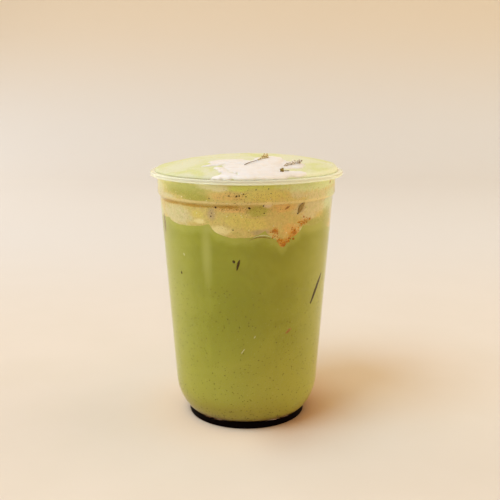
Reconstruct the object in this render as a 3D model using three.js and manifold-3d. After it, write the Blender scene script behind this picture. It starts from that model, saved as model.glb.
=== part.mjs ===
// An iced matcha latte in a clear plastic cup: a round-bottomed cup on a short foot ring, the green
// drink, a tan foam cap that hangs into the drink in scallops and domes over the rim, a pour of white
// cream on the dome, and three dried flower sprigs on the cream.
// Millimetres, +Z up. The origin is the centre of the foot ring's underside, and -Y is the front.
import * as THREE from "three";
import { mergeVertices } from "three/addons/utils/BufferGeometryUtils.js";
import Module from "manifold-3d";

const wasm = await Module();
wasm.setup();

// Driving sizes of the cup
const RIM_RADIUS = 45;
const CUP_HEIGHT = 118;
const WALL = 0.8;
const BAND_RADIUS = 41.6; // outside of the upright band under the rim
const BAND_FOOT = 108.2; // height where the band ends and the step begins
const STEP_IN = 1.0; // how far the step draws the wall in
const STEP_DROP = 1.9;
const DRAFT = 0.072; // how much the wall narrows for each millimetre down
const CORNER_RADIUS = 23; // outside of the rounded base corner
const FOOT_RADIUS = 28;
const FOOT_HEIGHT = 3.4;
const FOOT_WALL = 1.4;
const FOOT_CHAMFER = 0.3;
const FLOOR_UNDER = 2.8; // underside of the cup's floor, above the table
const FLOOR_TOP = 4.2;

// The rim: a flat flange with a turned-down lip
const FLANGE = 1.1;
const LIP_DROP = 1.9;
const LIP_WALL = 0.9;
const RIM_ROUND = 0.7;

// Driving sizes of the contents
const GAP = 0.25; // clearance between neighbouring pieces
const FOAM_LEVEL = 98.5; // where the foam meets the drink, between its scallops
const FOAM_RADIUS = 42.5; // the foam laps over the inner part of the flange
const SHOULDER = 2.5; // width of the rounded edge of the foam
const DOME_EDGE = 1.7; // height of the dome's edge over the rim
const DOME_RISE = 4.8; // further rise to the top of the dome
const DOME_RADIUS = 42;
const DOME_POWER = 2.5; // 2 is a bowl shape, more is flatter on top
const DOME_SHIFT = new THREE.Vector2(2.2, 0.8); // the dome's top is off the cup's axis

// Facets
const CUP_SIDES = 64;
const CONTENT_SIDES = 72;
const ARC_STEPS = 3;

const STEP_FOOT = BAND_FOOT - STEP_DROP;
const STEP_RADIUS = BAND_RADIUS - STEP_IN;
const DRAFT_ANGLE = Math.atan(DRAFT);

// Outside radius of the tapered wall at a height
const wallRadius = (z) => STEP_RADIUS - DRAFT * (STEP_FOOT - z);

// The base corner is an arc tangent to the wall that ends on top of the foot ring
function cornerCentre() {
  const end = new THREE.Vector2(FOOT_RADIUS + FOOT_CHAMFER, FOOT_HEIGHT);
  const centreAt = (z) =>
    new THREE.Vector2(
      wallRadius(z) - CORNER_RADIUS * Math.cos(DRAFT_ANGLE),
      z + CORNER_RADIUS * Math.sin(DRAFT_ANGLE),
    );
  let low = FOOT_HEIGHT;
  let high = 2 * CORNER_RADIUS;
  for (let i = 0; i < 50; i++) {
    const z = (low + high) / 2;
    if (centreAt(z).distanceTo(end) < CORNER_RADIUS) low = z;
    else high = z;
  }
  return centreAt(low);
}
const CORNER = cornerCentre();
const CORNER_INNER = CORNER_RADIUS - WALL;
const CORNER_TOP = CORNER.y - CORNER_INNER * Math.sin(DRAFT_ANGLE);

// Inside radius of the cup at a height
function insideRadius(z) {
  const drop = CORNER.y - z;
  if (z < CORNER_TOP) return CORNER.x + Math.sqrt(CORNER_INNER ** 2 - drop ** 2);
  if (z < STEP_FOOT) return wallRadius(z) - WALL / Math.cos(DRAFT_ANGLE);
  const t = Math.min(1, (z - STEP_FOOT) / STEP_DROP);
  return STEP_RADIUS - WALL + t * STEP_IN;
}

// A lathe turned about +Z
function turned(points, sides) {
  return new THREE.LatheGeometry(points, sides).rotateX(Math.PI / 2);
}

// A lathe about +Z whose profile changes with the angle; 0 faces the front and +90 degrees faces +X
function turnedBy(profileAt, sides) {
  const first = profileAt(0);
  const geometry = turned(first, sides);
  const position = geometry.getAttribute("position");
  for (let i = 0; i <= sides; i++) {
    const angle = ((i % sides) / sides) * 2 * Math.PI;
    profileAt(angle).forEach((p, j) => {
      const at = i * first.length + j;
      position.setXYZ(at, p.x * Math.sin(angle), -p.x * Math.cos(angle), p.y);
    });
  }
  return geometry;
}

// The same surface facing the other way
function flipped(geometry) {
  const index = geometry.getIndex();
  for (let i = 0; i < index.count; i += 3) {
    const first = index.getX(i);
    index.setX(i, index.getX(i + 1));
    index.setX(i + 1, first);
  }
  return geometry;
}

// Closed geometry to solid and back
function solidOf(geometry) {
  const bare = geometry.clone();
  bare.deleteAttribute("normal");
  bare.deleteAttribute("uv");
  const merged = mergeVertices(bare, 1e-4);
  return new wasm.Manifold(
    new wasm.Mesh({
      numProp: 3,
      vertProperties: new Float32Array(merged.attributes.position.array),
      triVerts: new Uint32Array(merged.index.array),
    }),
  );
}

function geometryOf(solid) {
  const mesh = solid.getMesh();
  const geometry = new THREE.BufferGeometry();
  geometry.setAttribute("position", new THREE.BufferAttribute(mesh.vertProperties, 3));
  geometry.setIndex(new THREE.BufferAttribute(mesh.triVerts, 1));
  geometry.computeVertexNormals();
  return geometry;
}

// Evenly spaced numbers from a to b, both included
const spaced = (a, b, steps) => Array.from({ length: steps + 1 }, (_, i) => a + ((b - a) * i) / steps);

// The cup

function cupGeometry() {
  const flangeUnder = CUP_HEIGHT - FLANGE;
  const lipFoot = CUP_HEIGHT - LIP_DROP;
  const lipInner = RIM_RADIUS - LIP_WALL;
  const inner = BAND_RADIUS - WALL;
  const footInner = FOOT_RADIUS - FOOT_WALL;
  const cornerStart = Math.atan2(FOOT_HEIGHT - CORNER.y, FOOT_RADIUS + FOOT_CHAMFER - CORNER.x);
  const floorAngle = -Math.asin((CORNER.y - FLOOR_TOP) / CORNER_INNER);
  const path = new THREE.Path();
  path.moveTo(0, FLOOR_UNDER);
  path.lineTo(footInner, FLOOR_UNDER);
  path.lineTo(footInner, FOOT_CHAMFER);
  path.lineTo(footInner + FOOT_CHAMFER, 0);
  path.lineTo(FOOT_RADIUS - FOOT_CHAMFER, 0);
  path.lineTo(FOOT_RADIUS, FOOT_CHAMFER);
  path.lineTo(FOOT_RADIUS, FOOT_HEIGHT - FOOT_CHAMFER);
  path.absarc(CORNER.x, CORNER.y, CORNER_RADIUS, cornerStart, -DRAFT_ANGLE, false);
  path.lineTo(STEP_RADIUS, STEP_FOOT);
  path.lineTo(BAND_RADIUS, BAND_FOOT);
  path.lineTo(BAND_RADIUS, flangeUnder);
  path.lineTo(lipInner, flangeUnder);
  path.lineTo(lipInner, lipFoot);
  path.lineTo(RIM_RADIUS - FOOT_CHAMFER, lipFoot);
  path.lineTo(RIM_RADIUS, lipFoot + FOOT_CHAMFER);
  path.lineTo(RIM_RADIUS, CUP_HEIGHT - RIM_ROUND);
  path.quadraticCurveTo(RIM_RADIUS, CUP_HEIGHT, RIM_RADIUS - RIM_ROUND, CUP_HEIGHT);
  path.lineTo(inner + RIM_ROUND, CUP_HEIGHT);
  path.quadraticCurveTo(inner, CUP_HEIGHT, inner, CUP_HEIGHT - RIM_ROUND);
  path.lineTo(inner, BAND_FOOT);
  path.lineTo(insideRadius(STEP_FOOT), STEP_FOOT);
  path.absarc(CORNER.x, CORNER.y, CORNER_INNER, -DRAFT_ANGLE, floorAngle, true);
  path.lineTo(0, FLOOR_TOP);
  return turned(path.getPoints(ARC_STEPS), CUP_SIDES);
}

// The line where foam meets drink on the wall: scallops that hang from one level. Each has a middle and
// a half width in degrees from the front, a depth, and a power that makes it round (0.5) or pointed.
const FRONT_SCALLOPS = [
  { middle: -42.5, half: 17.5, depth: 1.9, power: 0.6 },
  { middle: -4.5, half: 18.5, depth: 5.9, power: 0.5 },
  { middle: 25, half: 14, depth: 7.2, power: 0.5 },
  { middle: 24, half: 7.5, depth: 10.4, power: 1 },
  { middle: 49, half: 12, depth: 2.4, power: 0.5 },
];
const BACK_SCALLOPS = spaced(0, 6, 6).map((i) => ({
  middle: 78 + 31 * i,
  half: 17 + 3 * Math.sin(2.4 * i),
  depth: 4 + 2 * Math.cos(1.7 * i),
  power: 0.5,
}));

function scallopDepth(angle) {
  const degrees = THREE.MathUtils.radToDeg(angle);
  const depths = [...FRONT_SCALLOPS, ...BACK_SCALLOPS].map((s) => {
    const away = THREE.MathUtils.euclideanModulo(degrees - s.middle + 180, 360) - 180;
    return s.depth * Math.max(0, 1 - (away / s.half) ** 2) ** s.power;
  });
  return Math.max(0, ...depths);
}

// Height of the boundary between drink and foam: scalloped at the wall and flat in the middle
const BOUNDARY_POWER = 5;
function boundary(angle, share) {
  return FOAM_LEVEL - scallopDepth(angle) * share ** BOUNDARY_POWER;
}

// The boundary's profile from the axis to the wall, moved down by an amount
const BOUNDARY_STEPS = [0, 0.55, 0.85, 1];
function boundaryProfile(angle, down) {
  const edge = insideRadius(boundary(angle, 1) - down) - GAP;
  return BOUNDARY_STEPS.map((s) => new THREE.Vector2(s * edge, boundary(angle, s) - down));
}

// The green drink, from the cup's floor up to the foam. Its profile starts at the boundary, as the foam's
// does, so that the facets of the two run the same way there; that turns it inside out, so it is flipped.

function latteGeometry() {
  const bottom = FLOOR_TOP + GAP;
  const profileAt = (angle) => {
    const wallTop = boundary(angle, 1) - GAP;
    const wall = spaced(wallTop, CORNER_TOP, 3).slice(1, -1);
    const corner = spaced(CORNER_TOP, bottom, 6);
    const side = [...wall, ...corner].map((z) => new THREE.Vector2(insideRadius(z) - GAP, z));
    return [...boundaryProfile(angle, GAP), ...side, new THREE.Vector2(0, bottom)];
  };
  return flipped(turnedBy(profileAt, CONTENT_SIDES));
}

// The foam cap: scalloped below, against the wall, and domed over the rim

function domeHeight(x, y) {
  const away = Math.hypot(x - DOME_SHIFT.x, y - DOME_SHIFT.y) / DOME_RADIUS;
  return CUP_HEIGHT + DOME_EDGE + DOME_RISE * (1 - away ** DOME_POWER);
}

// The top of the foam in profile, from the axis out to its edge just over the flange
const DOME_STEPS = [0, 0.18, 0.35, 0.5, 0.64, 0.76, 0.86, 0.94];
const SHOULDER_STEPS = [0, 0.3, 0.6, 0.8, 1];
function foamOutline(angle) {
  const edge = FOAM_RADIUS - SHOULDER;
  const heightAt = (r) => domeHeight(r * Math.sin(angle), -r * Math.cos(angle));
  const foot = CUP_HEIGHT + GAP;
  const drop = heightAt(edge) - foot;
  const dome = DOME_STEPS.map((s) => new THREE.Vector2(s * edge, heightAt(s * edge)));
  const shoulder = SHOULDER_STEPS.map((s) => {
    const turn = (s * Math.PI) / 2;
    return new THREE.Vector2(edge + SHOULDER * Math.sin(turn), foot + drop * Math.cos(turn));
  });
  return [...dome, ...shoulder];
}

function foamGeometry() {
  const inner = BAND_RADIUS - WALL;
  const overRim = [
    new THREE.Vector2(inner - GAP, CUP_HEIGHT - RIM_ROUND),
    new THREE.Vector2(inner - GAP / 2, CUP_HEIGHT),
    new THREE.Vector2(inner + RIM_ROUND / 2, CUP_HEIGHT + GAP),
  ];
  return turnedBy((angle) => {
    const wall = spaced(boundary(angle, 1), STEP_FOOT, 3).slice(1);
    const side = [...wall, BAND_FOOT].map((z) => new THREE.Vector2(insideRadius(z) - GAP, z));
    return [...boundaryProfile(angle, 0), ...side, ...overRim, ...foamOutline(angle).reverse()];
  }, CONTENT_SIDES);
}

// Outward normals along an outline that starts level on the axis
function outlineNormals(points) {
  return points.map((p, i) => {
    const before = points[Math.max(0, i - 1)];
    const after = points[Math.min(points.length - 1, i + 1)];
    const way = after.clone().sub(before).normalize();
    return i === 0 ? new THREE.Vector2(0, 1) : new THREE.Vector2(-way.y, way.x);
  });
}

// A point over the foam: u and v are measured along its surface from the axis, up is off the surface
function overFoam(u, v, up) {
  const angle = Math.atan2(u, -v);
  const points = foamOutline(angle);
  const normals = outlineNormals(points);
  let left = Math.hypot(u, v);
  let i = 0;
  while (i < points.length - 2 && left > points[i].distanceTo(points[i + 1])) {
    left -= points[i].distanceTo(points[i + 1]);
    i += 1;
  }
  const share = left / points[i].distanceTo(points[i + 1]);
  const at = points[i].clone().lerp(points[i + 1], share);
  const normal = normals[i].clone().lerp(normals[i + 1], Math.min(1, share)).normalize();
  at.addScaledVector(normal, up);
  return new THREE.Vector3(at.x * Math.sin(angle), -at.x * Math.cos(angle), at.y);
}

// The white cream: flat dollops poured over the front of the dome. Each has its middle, its half length,
// half width and thickness, and the way its length points, in degrees from +X.
const CREAM_DOLLOPS = [
  { u: 2, v: -31, long: 15, wide: 12.5, thick: 0.9, turn: 0 },
  { u: -12, v: -22, long: 11, wide: 4.2, thick: 0.8, turn: 22 },
  { u: -5.5, v: -39.8, long: 12, wide: 4.5, thick: 0.8, turn: -9 },
  { u: 10.5, v: -20, long: 11, wide: 8, thick: 1.7, turn: 75 },
  { u: 20, v: -22.5, long: 9.5, wide: 6, thick: 0.8, turn: 60 },
  { u: 14, v: -38, long: 12, wide: 4, thick: 0.8, turn: 22 },
];
const DOLLOP_SIDES = 22;
const DOLLOP_RINGS = 8;

// A dollop lies bent over the dome; its lower half is cut off by the foam
function dollopSolid({ u, v, long, wide, thick, turn }) {
  const geometry = new THREE.SphereGeometry(1, DOLLOP_SIDES, DOLLOP_RINGS)
    .rotateX(Math.PI / 2)
    .scale(long, wide, thick)
    .rotateZ(THREE.MathUtils.degToRad(turn))
    .translate(u, v, 0);
  const position = geometry.getAttribute("position");
  for (let i = 0; i < position.count; i++) {
    const at = overFoam(position.getX(i), position.getY(i), position.getZ(i) + GAP);
    position.setXYZ(i, at.x, at.y, at.z);
  }
  return solidOf(geometry);
}

// Thickness of the cream at a point on the foam, before it is cut round the sprigs
function creamThickness(u, v) {
  const each = CREAM_DOLLOPS.map((d) => {
    const turn = THREE.MathUtils.degToRad(d.turn);
    const along = ((u - d.u) * Math.cos(turn) + (v - d.v) * Math.sin(turn)) / d.long;
    const across = ((v - d.v) * Math.cos(turn) - (u - d.u) * Math.sin(turn)) / d.wide;
    return d.thick * Math.sqrt(Math.max(0, 1 - along ** 2 - across ** 2));
  });
  return Math.max(...each);
}

// The foam and the flange, grown by the gap, as one solid that trims the cream from below
function underCream() {
  const base = CUP_HEIGHT - SHOULDER;
  const reach = 2 * RIM_RADIUS;
  const level = CUP_HEIGHT + GAP;
  const profileAt = (angle) => {
    const outline = foamOutline(angle);
    const normals = outlineNormals(outline);
    const grown = outline.map((p, i) => p.clone().addScaledVector(normals[i], GAP));
    grown[grown.length - 1].y = level;
    return [
      new THREE.Vector2(0, base),
      new THREE.Vector2(reach, base),
      new THREE.Vector2(reach, level),
      ...grown.reverse(),
    ];
  };
  return solidOf(turnedBy(profileAt, CONTENT_SIDES));
}

function creamGeometry(sprigHollows) {
  const poured = CREAM_DOLLOPS.map(dollopSolid).reduce((all, one) => all.add(one));
  const trimmed = poured.subtract(underCream());
  const cut = sprigHollows.reduce((rest, hollow) => rest.subtract(hollow), trimmed);
  const pieces = cut.decompose().sort((a, b) => b.volume() - a.volume());
  return geometryOf(pieces[0]);
}

// The dried flower sprigs. A stem runs from one point on the cream to another, and buds sit along it:
// each at a share of the stem, with its half length and half width. lift raises the far end.
const SPRIGS = [
  {
    name: "sprig_long",
    from: new THREE.Vector2(-0.5, -30.5),
    to: new THREE.Vector2(9.3, -20),
    lift: 0.3,
    stem: 0.32,
    buds: [
      { at: 0.76, long: 2.3, wide: 0.75 },
      { at: 0.94, long: 1.9, wide: 1.0 },
    ],
  },
  {
    name: "sprig_pair",
    from: new THREE.Vector2(16.8, -29),
    to: new THREE.Vector2(23.5, -23),
    lift: 0.2,
    stem: 0.35,
    buds: [
      { at: 0.28, long: 2.3, wide: 0.85 },
      { at: 0.78, long: 2.3, wide: 0.8 },
    ],
  },
  {
    name: "sprig_bud",
    from: new THREE.Vector2(18.3, -35.8),
    to: new THREE.Vector2(15.2, -36.4),
    lift: 0.1,
    stem: 0.3,
    buds: [{ at: 1, long: 1.0, wide: 0.9 }],
  },
];
const STEM_SIDES = 6;
const STEM_STEPS = 5;
const STEM_BOW = 0.5; // sideways bow of a stem
const BUD_SIDES = 8;
const BUD_RINGS = 6;
const SPRIG_CLEARANCE = 0.3;

// The middle line of a sprig, which lies on the cream and rises towards its far end
function sprigLine({ from, to, lift, stem }) {
  const across = new THREE.Vector2(from.y - to.y, to.x - from.x).normalize();
  const points = spaced(0, 1, STEM_STEPS).map((t) => {
    const flat = from.clone().lerp(to, t).addScaledVector(across, STEM_BOW * Math.sin(Math.PI * t));
    return overFoam(flat.x, flat.y, GAP + creamThickness(flat.x, flat.y) + stem * 0.5 + lift * t);
  });
  return new THREE.CatmullRomCurve3(points);
}

// One sprig as a solid, grown all round by a clearance
function sprigSolid(sprig, clearance) {
  const line = sprigLine(sprig);
  const section = new THREE.Shape();
  section.absarc(0, 0, sprig.stem + clearance, 0, 2 * Math.PI);
  const stem = new THREE.ExtrudeGeometry(section, {
    steps: STEM_STEPS,
    curveSegments: STEM_SIDES,
    extrudePath: line,
  });
  return sprig.buds.reduce((all, bud) => {
    const middle = line.getPointAt(bud.at);
    const along = line.getTangentAt(bud.at);
    const aim = new THREE.Quaternion().setFromUnitVectors(new THREE.Vector3(0, 1, 0), along);
    const geometry = new THREE.SphereGeometry(1, BUD_SIDES, BUD_RINGS)
      .scale(bud.wide + clearance, bud.long + clearance, bud.wide + clearance)
      .applyQuaternion(aim)
      .translate(middle.x, middle.y, middle.z + bud.wide * 0.35);
    return all.add(solidOf(geometry));
  }, solidOf(stem));
}

// The assembled drink

function piece(name, geometry, colour, roughness, extra = {}) {
  const material = new THREE.MeshStandardMaterial({ color: colour, roughness, metalness: 0, ...extra });
  const mesh = new THREE.Mesh(geometry, material);
  mesh.name = name;
  return mesh;
}

const latteCup = new THREE.Group();
latteCup.name = "matcha_latte";
latteCup.add(
  piece("cup", cupGeometry(), 0xf2f0ea, 0.08, { transparent: true, opacity: 0.3 }),
  piece("latte", latteGeometry(), 0x9a9440, 0.5),
  piece("foam", foamGeometry(), 0xe2d99a, 0.6),
  piece(
    "cream",
    creamGeometry(SPRIGS.map((sprig) => sprigSolid(sprig, SPRIG_CLEARANCE))),
    0xf5ece0,
    0.5,
  ),
  ...SPRIGS.map((sprig) => piece(sprig.name, geometryOf(sprigSolid(sprig, 0)), 0x6f6440, 0.85)),
);

export default latteCup;
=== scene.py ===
import math
import random
from functools import lru_cache

import bmesh
import bpy
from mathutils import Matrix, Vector, noise


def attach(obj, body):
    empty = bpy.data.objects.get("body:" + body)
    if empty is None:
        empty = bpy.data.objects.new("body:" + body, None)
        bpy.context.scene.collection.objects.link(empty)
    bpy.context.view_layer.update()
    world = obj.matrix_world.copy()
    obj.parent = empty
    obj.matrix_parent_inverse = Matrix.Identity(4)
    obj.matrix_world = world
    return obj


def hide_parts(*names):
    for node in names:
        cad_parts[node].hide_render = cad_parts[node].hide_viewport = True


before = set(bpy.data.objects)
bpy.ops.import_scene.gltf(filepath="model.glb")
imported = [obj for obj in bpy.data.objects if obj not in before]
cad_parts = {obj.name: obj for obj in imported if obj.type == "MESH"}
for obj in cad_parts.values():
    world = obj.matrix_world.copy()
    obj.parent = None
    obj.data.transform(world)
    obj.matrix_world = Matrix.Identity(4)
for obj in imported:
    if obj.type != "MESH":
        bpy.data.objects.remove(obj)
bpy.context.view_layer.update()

MM = 0.001
TURN = 2 * math.pi
GOLDEN_TURN = 2.39996  # florets set this far apart round a stem never line up

# Cup sizes
RIM_RADIUS = 45
CUP_HEIGHT = 118
WALL = 0.8
BAND_RADIUS = 41.6
BAND_FOOT = 108.2
STEP_IN = 1.0
STEP_DROP = 1.9
DRAFT = 0.072  # how far the wall leans outwards for each millimetre up
CORNER_RADIUS = 23
FOOT_RADIUS = 28
FOOT_HEIGHT = 3.4
FOOT_WALL = 1.4
FLOOR_UNDER = 2.8
FLOOR_TOP = 4.2
FLANGE = 1.1
LIP_DROP = 1.9
LIP_WALL = 0.9
CUP_SIDES = 160
SHELL_TOP = 117.3  # the wall ends inside the flange
STEP_ROUND = 1.6
FOOT_LEDGE = 0.3  # the base corner ends this far outside the foot ring
FOOT_SUNK = 0.3  # the foot ring reaches this far up into the floor
LIP_GROOVE = 0.16
STRAIGHT_RUN = 2.5  # longest straight stretch of the cup's outline between two rings
RING_NEAR = 0.2  # distance of the rings next to the ends of a straight stretch

# Sizes of the contents
BITE = 0.12  # how far drink and foam reach into the wall, so that no air shows between
FOAM_CLEAR = 0.0625  # the foam's edge stays this far above the flange
LATTE_UP = 0.2  # how far the drink reaches up into the foam
FOAM_LEVEL = 98.5
FOAM_RADIUS = 42.5
SHOULDER = 2.5  # width of the round at the edge of the foam
DOME_EDGE = 1.7  # height of the dome over the rim at its own radius
DOME_RISE = 4.8  # how much higher its middle is
DOME_RADIUS = 42
DOME_POWER = 2.5  # the larger, the flatter its middle
DOME_SHIFT = (2.2, 0.8)  # how far its middle lies off the axis, along +X and +Y
FOAM_AT_LIP = 115.5  # height to which the foam shows under the lip
EDGE_RIPPLE = 0.35  # fine unevenness of the line between foam and drink
FOAM_LUMPS = 0.12  # low swellings of the foam's top
EDGE_ROW = 0.06  # a row of points this close to an edge keeps the shading beside it flat
LATTE_SIDES = 180
FOAM_SIDES = 300

# Numbers of bits, and the least and largest radius of the fine ones
SPECK_COUNT = 230
SPECK_SIZES = (0.07, 0.17)
FRECKLE_COUNT = 700
FRECKLE_SIZES = (0.08, 0.19)
CRUMB_COUNT = 80
BUBBLE_COUNT = 420
BUBBLE_REACH = 41  # how far from the axis bubbles lie on the dome
TEA_COUNT = 2400
TEA_SIZES = (0.15, 0.33)
MILK_COUNT = 1200
MILK_SIZES = (0.1, 0.22)
TEA_FOOT = 5
TEA_RISE = 66  # how far up the drink its specks reach
CHANCE_SEED = 11

# Studio sizes
BACKDROP_FRONT = -1500
BACKDROP_NEAR = -300
BACKDROP_DEPTH = 900
BACKDROP_ROUND = 500
BACKDROP_TOP = 1500
BACKDROP_HALF = 1800
NEAR_CUP = 45  # how far from the cup the floor takes on its painted light and shade
AIR_FRONT = 0.65  # the room is dimmer on the camera's side
AIR_BACK = 1.0
AIR_COLOUR = (1.0, 0.64, 0.34, 1.0)
# Each lamp's place, aim, width, height, watts and colour
LAMPS = {
    "key_soft_box": ((-1280, -900, 2420), (0, 0, 60), 1500, 1500, 56.0, (0.45, 0.74, 1.0)),
    "left_soft_box": ((-1080, 730, 500), (0, -350, 60), 950, 900, 5.4, (0.77, 0.74, 0.74)),
    "right_soft_box": ((1300, 200, 450), (0, 0, 60), 1400, 900, 6.4, (0.9, 1.0, 0.92)),
}
CAMERA_AT = (1.7, -375.16, 158.85)
CAMERA_DOWN = 0.209  # radians
CAMERA_LENS = 57.6
CAMERA_SENSOR = 36

STEP_FOOT = BAND_FOOT - STEP_DROP
STEP_RADIUS = BAND_RADIUS - STEP_IN
DRAFT_ANGLE = math.atan(DRAFT)


# Shapes shared by the pieces


def spaced(a, b, steps):
    """Evenly spaced numbers from a to b, both included."""
    return [a + (b - a) * i / steps for i in range(steps + 1)]


def wall_radius(z):
    """Outside radius of the tapered wall."""
    return STEP_RADIUS - DRAFT * (STEP_FOOT - z)


def corner_centre():
    """Centre of the base corner: tangent to the wall, ending on top of the foot ring."""
    end = Vector((FOOT_RADIUS + FOOT_LEDGE, FOOT_HEIGHT))
    low = FOOT_HEIGHT
    high = 2 * CORNER_RADIUS
    for _ in range(50):
        z = (low + high) / 2
        x = wall_radius(z) - CORNER_RADIUS * math.cos(DRAFT_ANGLE)
        centre = Vector((x, z + CORNER_RADIUS * math.sin(DRAFT_ANGLE)))
        if (centre - end).length < CORNER_RADIUS:
            low = z
        else:
            high = z
    return centre


CORNER = corner_centre()
CORNER_INNER = CORNER_RADIUS - WALL
CORNER_TOP = CORNER.y - CORNER_INNER * math.sin(DRAFT_ANGLE)


def inside_radius(z):
    """Inside radius of the cup."""
    if z < CORNER_TOP:
        return CORNER.x + math.sqrt(CORNER_INNER**2 - (CORNER.y - z) ** 2)
    if z < STEP_FOOT:
        return wall_radius(z) - WALL / math.cos(DRAFT_ANGLE)
    return STEP_RADIUS - WALL + min(1, (z - STEP_FOOT) / STEP_DROP) * STEP_IN


def around(radius, angle, z):
    """A point at an angle from the front, turning towards +X."""
    return Vector((radius * math.sin(angle), -radius * math.cos(angle), z))


def on_wall(degrees, z, out=0.0):
    """A point where the contents meet the wall."""
    return around(inside_radius(z) + BITE + out, math.radians(degrees), z)


def degrees_between(a, b):
    """The smaller turn from b to a, in degrees."""
    return (a - b + 180) % 360 - 180


# The scallops in which the foam hangs into the drink: middle, half width, depth and power, the first two
# in degrees from the front
FRONT_SCALLOPS = [
    (-42.5, 17.5, 1.9, 0.6),
    (-4.5, 18.5, 5.9, 0.5),
    (25, 14, 7.2, 0.5),
    (24, 7.5, 10.4, 1),
    (49, 12, 2.4, 0.5),
]
BACK_SCALLOPS = [
    (78 + 31 * i, 17 + 3 * math.sin(2.4 * i), 4 + 2 * math.cos(1.7 * i), 0.5) for i in range(7)
]


def scallop_depth(angle):
    """How far the foam hangs down at an angle from the front."""
    degrees = math.degrees(angle)
    depth = 0
    for middle, half, deep, power in FRONT_SCALLOPS + BACK_SCALLOPS:
        away = degrees_between(degrees, middle) / half
        depth = max(depth, deep * max(0, 1 - away**2) ** power)
    return depth


def boundary(angle, share=1.0):
    """Height of the line between drink and foam, at a share of the way from the axis to the wall."""
    ripple = EDGE_RIPPLE * noise.noise(around(9, angle, 0))
    ripple += EDGE_RIPPLE / 2 * noise.noise(around(23, angle, 5))
    return FOAM_LEVEL - (scallop_depth(angle) + ripple) * share**5


def dome_height(x, y):
    """Height of the foam's dome over a point."""
    away = math.hypot(x - DOME_SHIFT[0], y - DOME_SHIFT[1]) / DOME_RADIUS
    return CUP_HEIGHT + DOME_EDGE + DOME_RISE * (1 - away**DOME_POWER)


@lru_cache(maxsize=None)
def foam_outline(angle):
    """The top of the foam from the axis to its edge over the flange, as (radius, height) points."""
    edge = FOAM_RADIUS - SHOULDER
    foot = CUP_HEIGHT + FOAM_CLEAR
    points = []
    for r in spaced(0, edge, 26)[:-1]:
        points.append(Vector((r, dome_height(r * math.sin(angle), -r * math.cos(angle)))))
    drop = dome_height(edge * math.sin(angle), -edge * math.cos(angle)) - foot
    for turn in spaced(0, math.pi / 2, 10):
        points.append(Vector((edge + SHOULDER * math.sin(turn), foot + drop * math.cos(turn))))
    return points


def over_foam(u, v, up):
    """A point over the foam: u and v run along its surface from the axis, up is off the surface."""
    angle = round(math.atan2(u, -v), 3)
    points = foam_outline(angle)
    left = math.hypot(u, v)
    i = 0
    while i < len(points) - 2 and left > (points[i + 1] - points[i]).length:
        left -= (points[i + 1] - points[i]).length
        i += 1
    way = points[i + 1] - points[i]
    before = way if i == 0 else points[i] - points[i - 1]
    share = left / way.length
    tilt = before.normalized().lerp(way.normalized(), min(1, share))
    at = points[i] + way * share + Vector((-tilt.y, tilt.x)).normalized() * up
    return around(at.x, angle, at.y)


# Making objects


def mesh_piece(name, points, faces, material, attributes=None, edges=()):
    """A smooth mesh object at the origin from points in millimetres."""
    mesh = bpy.data.meshes.new(name)
    mesh.from_pydata([p * MM for p in points], edges, faces)
    for key, values in (attributes or {}).items():
        mesh.attributes.new(key, "FLOAT", "POINT").data.foreach_set("value", values)
    mesh.polygons.foreach_set("use_smooth", [True] * len(mesh.polygons))
    mesh.materials.append(material)
    piece = bpy.data.objects.new(name, mesh)
    bpy.context.scene.collection.objects.link(piece)
    return piece


def face_outwards(piece):
    """Merges doubles and turns the faces of a closed mesh outwards."""
    made = bmesh.new()
    made.from_mesh(piece.data)
    bmesh.ops.remove_doubles(made, verts=made.verts, dist=1e-7)
    bmesh.ops.recalc_face_normals(made, faces=made.faces)
    made.to_mesh(piece.data)
    made.free()


def turned_points(profile_at, sides):
    """Points and faces of a closed body turned about +Z; profiles start and end on the axis."""
    profiles = [profile_at(TURN * i / sides) for i in range(sides)]
    rows = len(profiles[0]) - 2
    points = [Vector((0, 0, profiles[0][0][1])), Vector((0, 0, profiles[0][-1][1]))]
    for i, profile in enumerate(profiles):
        points += [around(r, TURN * i / sides, z) for r, z in profile[1:-1]]
    faces = []
    for i in range(sides):
        a = 2 + i * rows
        b = 2 + (i + 1) % sides * rows
        faces.append((0, b, a))
        faces.append((1, a + rows - 1, b + rows - 1))
        faces += [(a + j, b + j, b + j + 1, a + j + 1) for j in range(rows - 1)]
    return points, faces


def place(tree, kind, inputs=None, **settings):
    """Adds a node; inputs holds plain values or sockets to link from."""
    node = tree.nodes.new(kind)
    for key, value in settings.items():
        setattr(node, key, value)
    for key, value in (inputs or {}).items():
        if isinstance(value, bpy.types.NodeSocket):
            tree.links.new(value, node.inputs[key])
        else:
            node.inputs[key].default_value = value
    return node


def tree_sockets(tree, takes, gives):
    """Makes a node group's named inputs and outputs and returns its two end nodes."""
    for name, (kind, value) in takes.items():
        socket = tree.interface.new_socket(name=name, in_out="INPUT", socket_type=kind)
        if value is not None:
            socket.default_value = value
    for name, kind in gives.items():
        tree.interface.new_socket(name=name, in_out="OUTPUT", socket_type=kind)
    start = tree.nodes.new("NodeGroupInput")
    end = tree.nodes.new("NodeGroupOutput")
    return start.outputs, end


def calculate(tree, operation, a, b=0.0):
    """The output of a Math node on two values or sockets."""
    return place(tree, "ShaderNodeMath", {0: a, 1: b}, operation=operation).outputs[0]


def apply_tree(piece, tree, values):
    """Runs a geometry tree on a piece and keeps the result as the piece's plain mesh."""
    modifier = piece.modifiers.new(tree.name, "NODES")
    modifier.node_group = tree
    for item in tree.interface.items_tree:
        if item.in_out == "INPUT" and item.name in values:
            modifier[item.identifier] = values[item.name]
    graph = bpy.context.evaluated_depsgraph_get()
    mesh = bpy.data.meshes.new_from_object(piece.evaluated_get(graph))
    piece.modifiers.clear()
    mesh.name = piece.name
    piece.data = mesh


# Geometry trees


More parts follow.
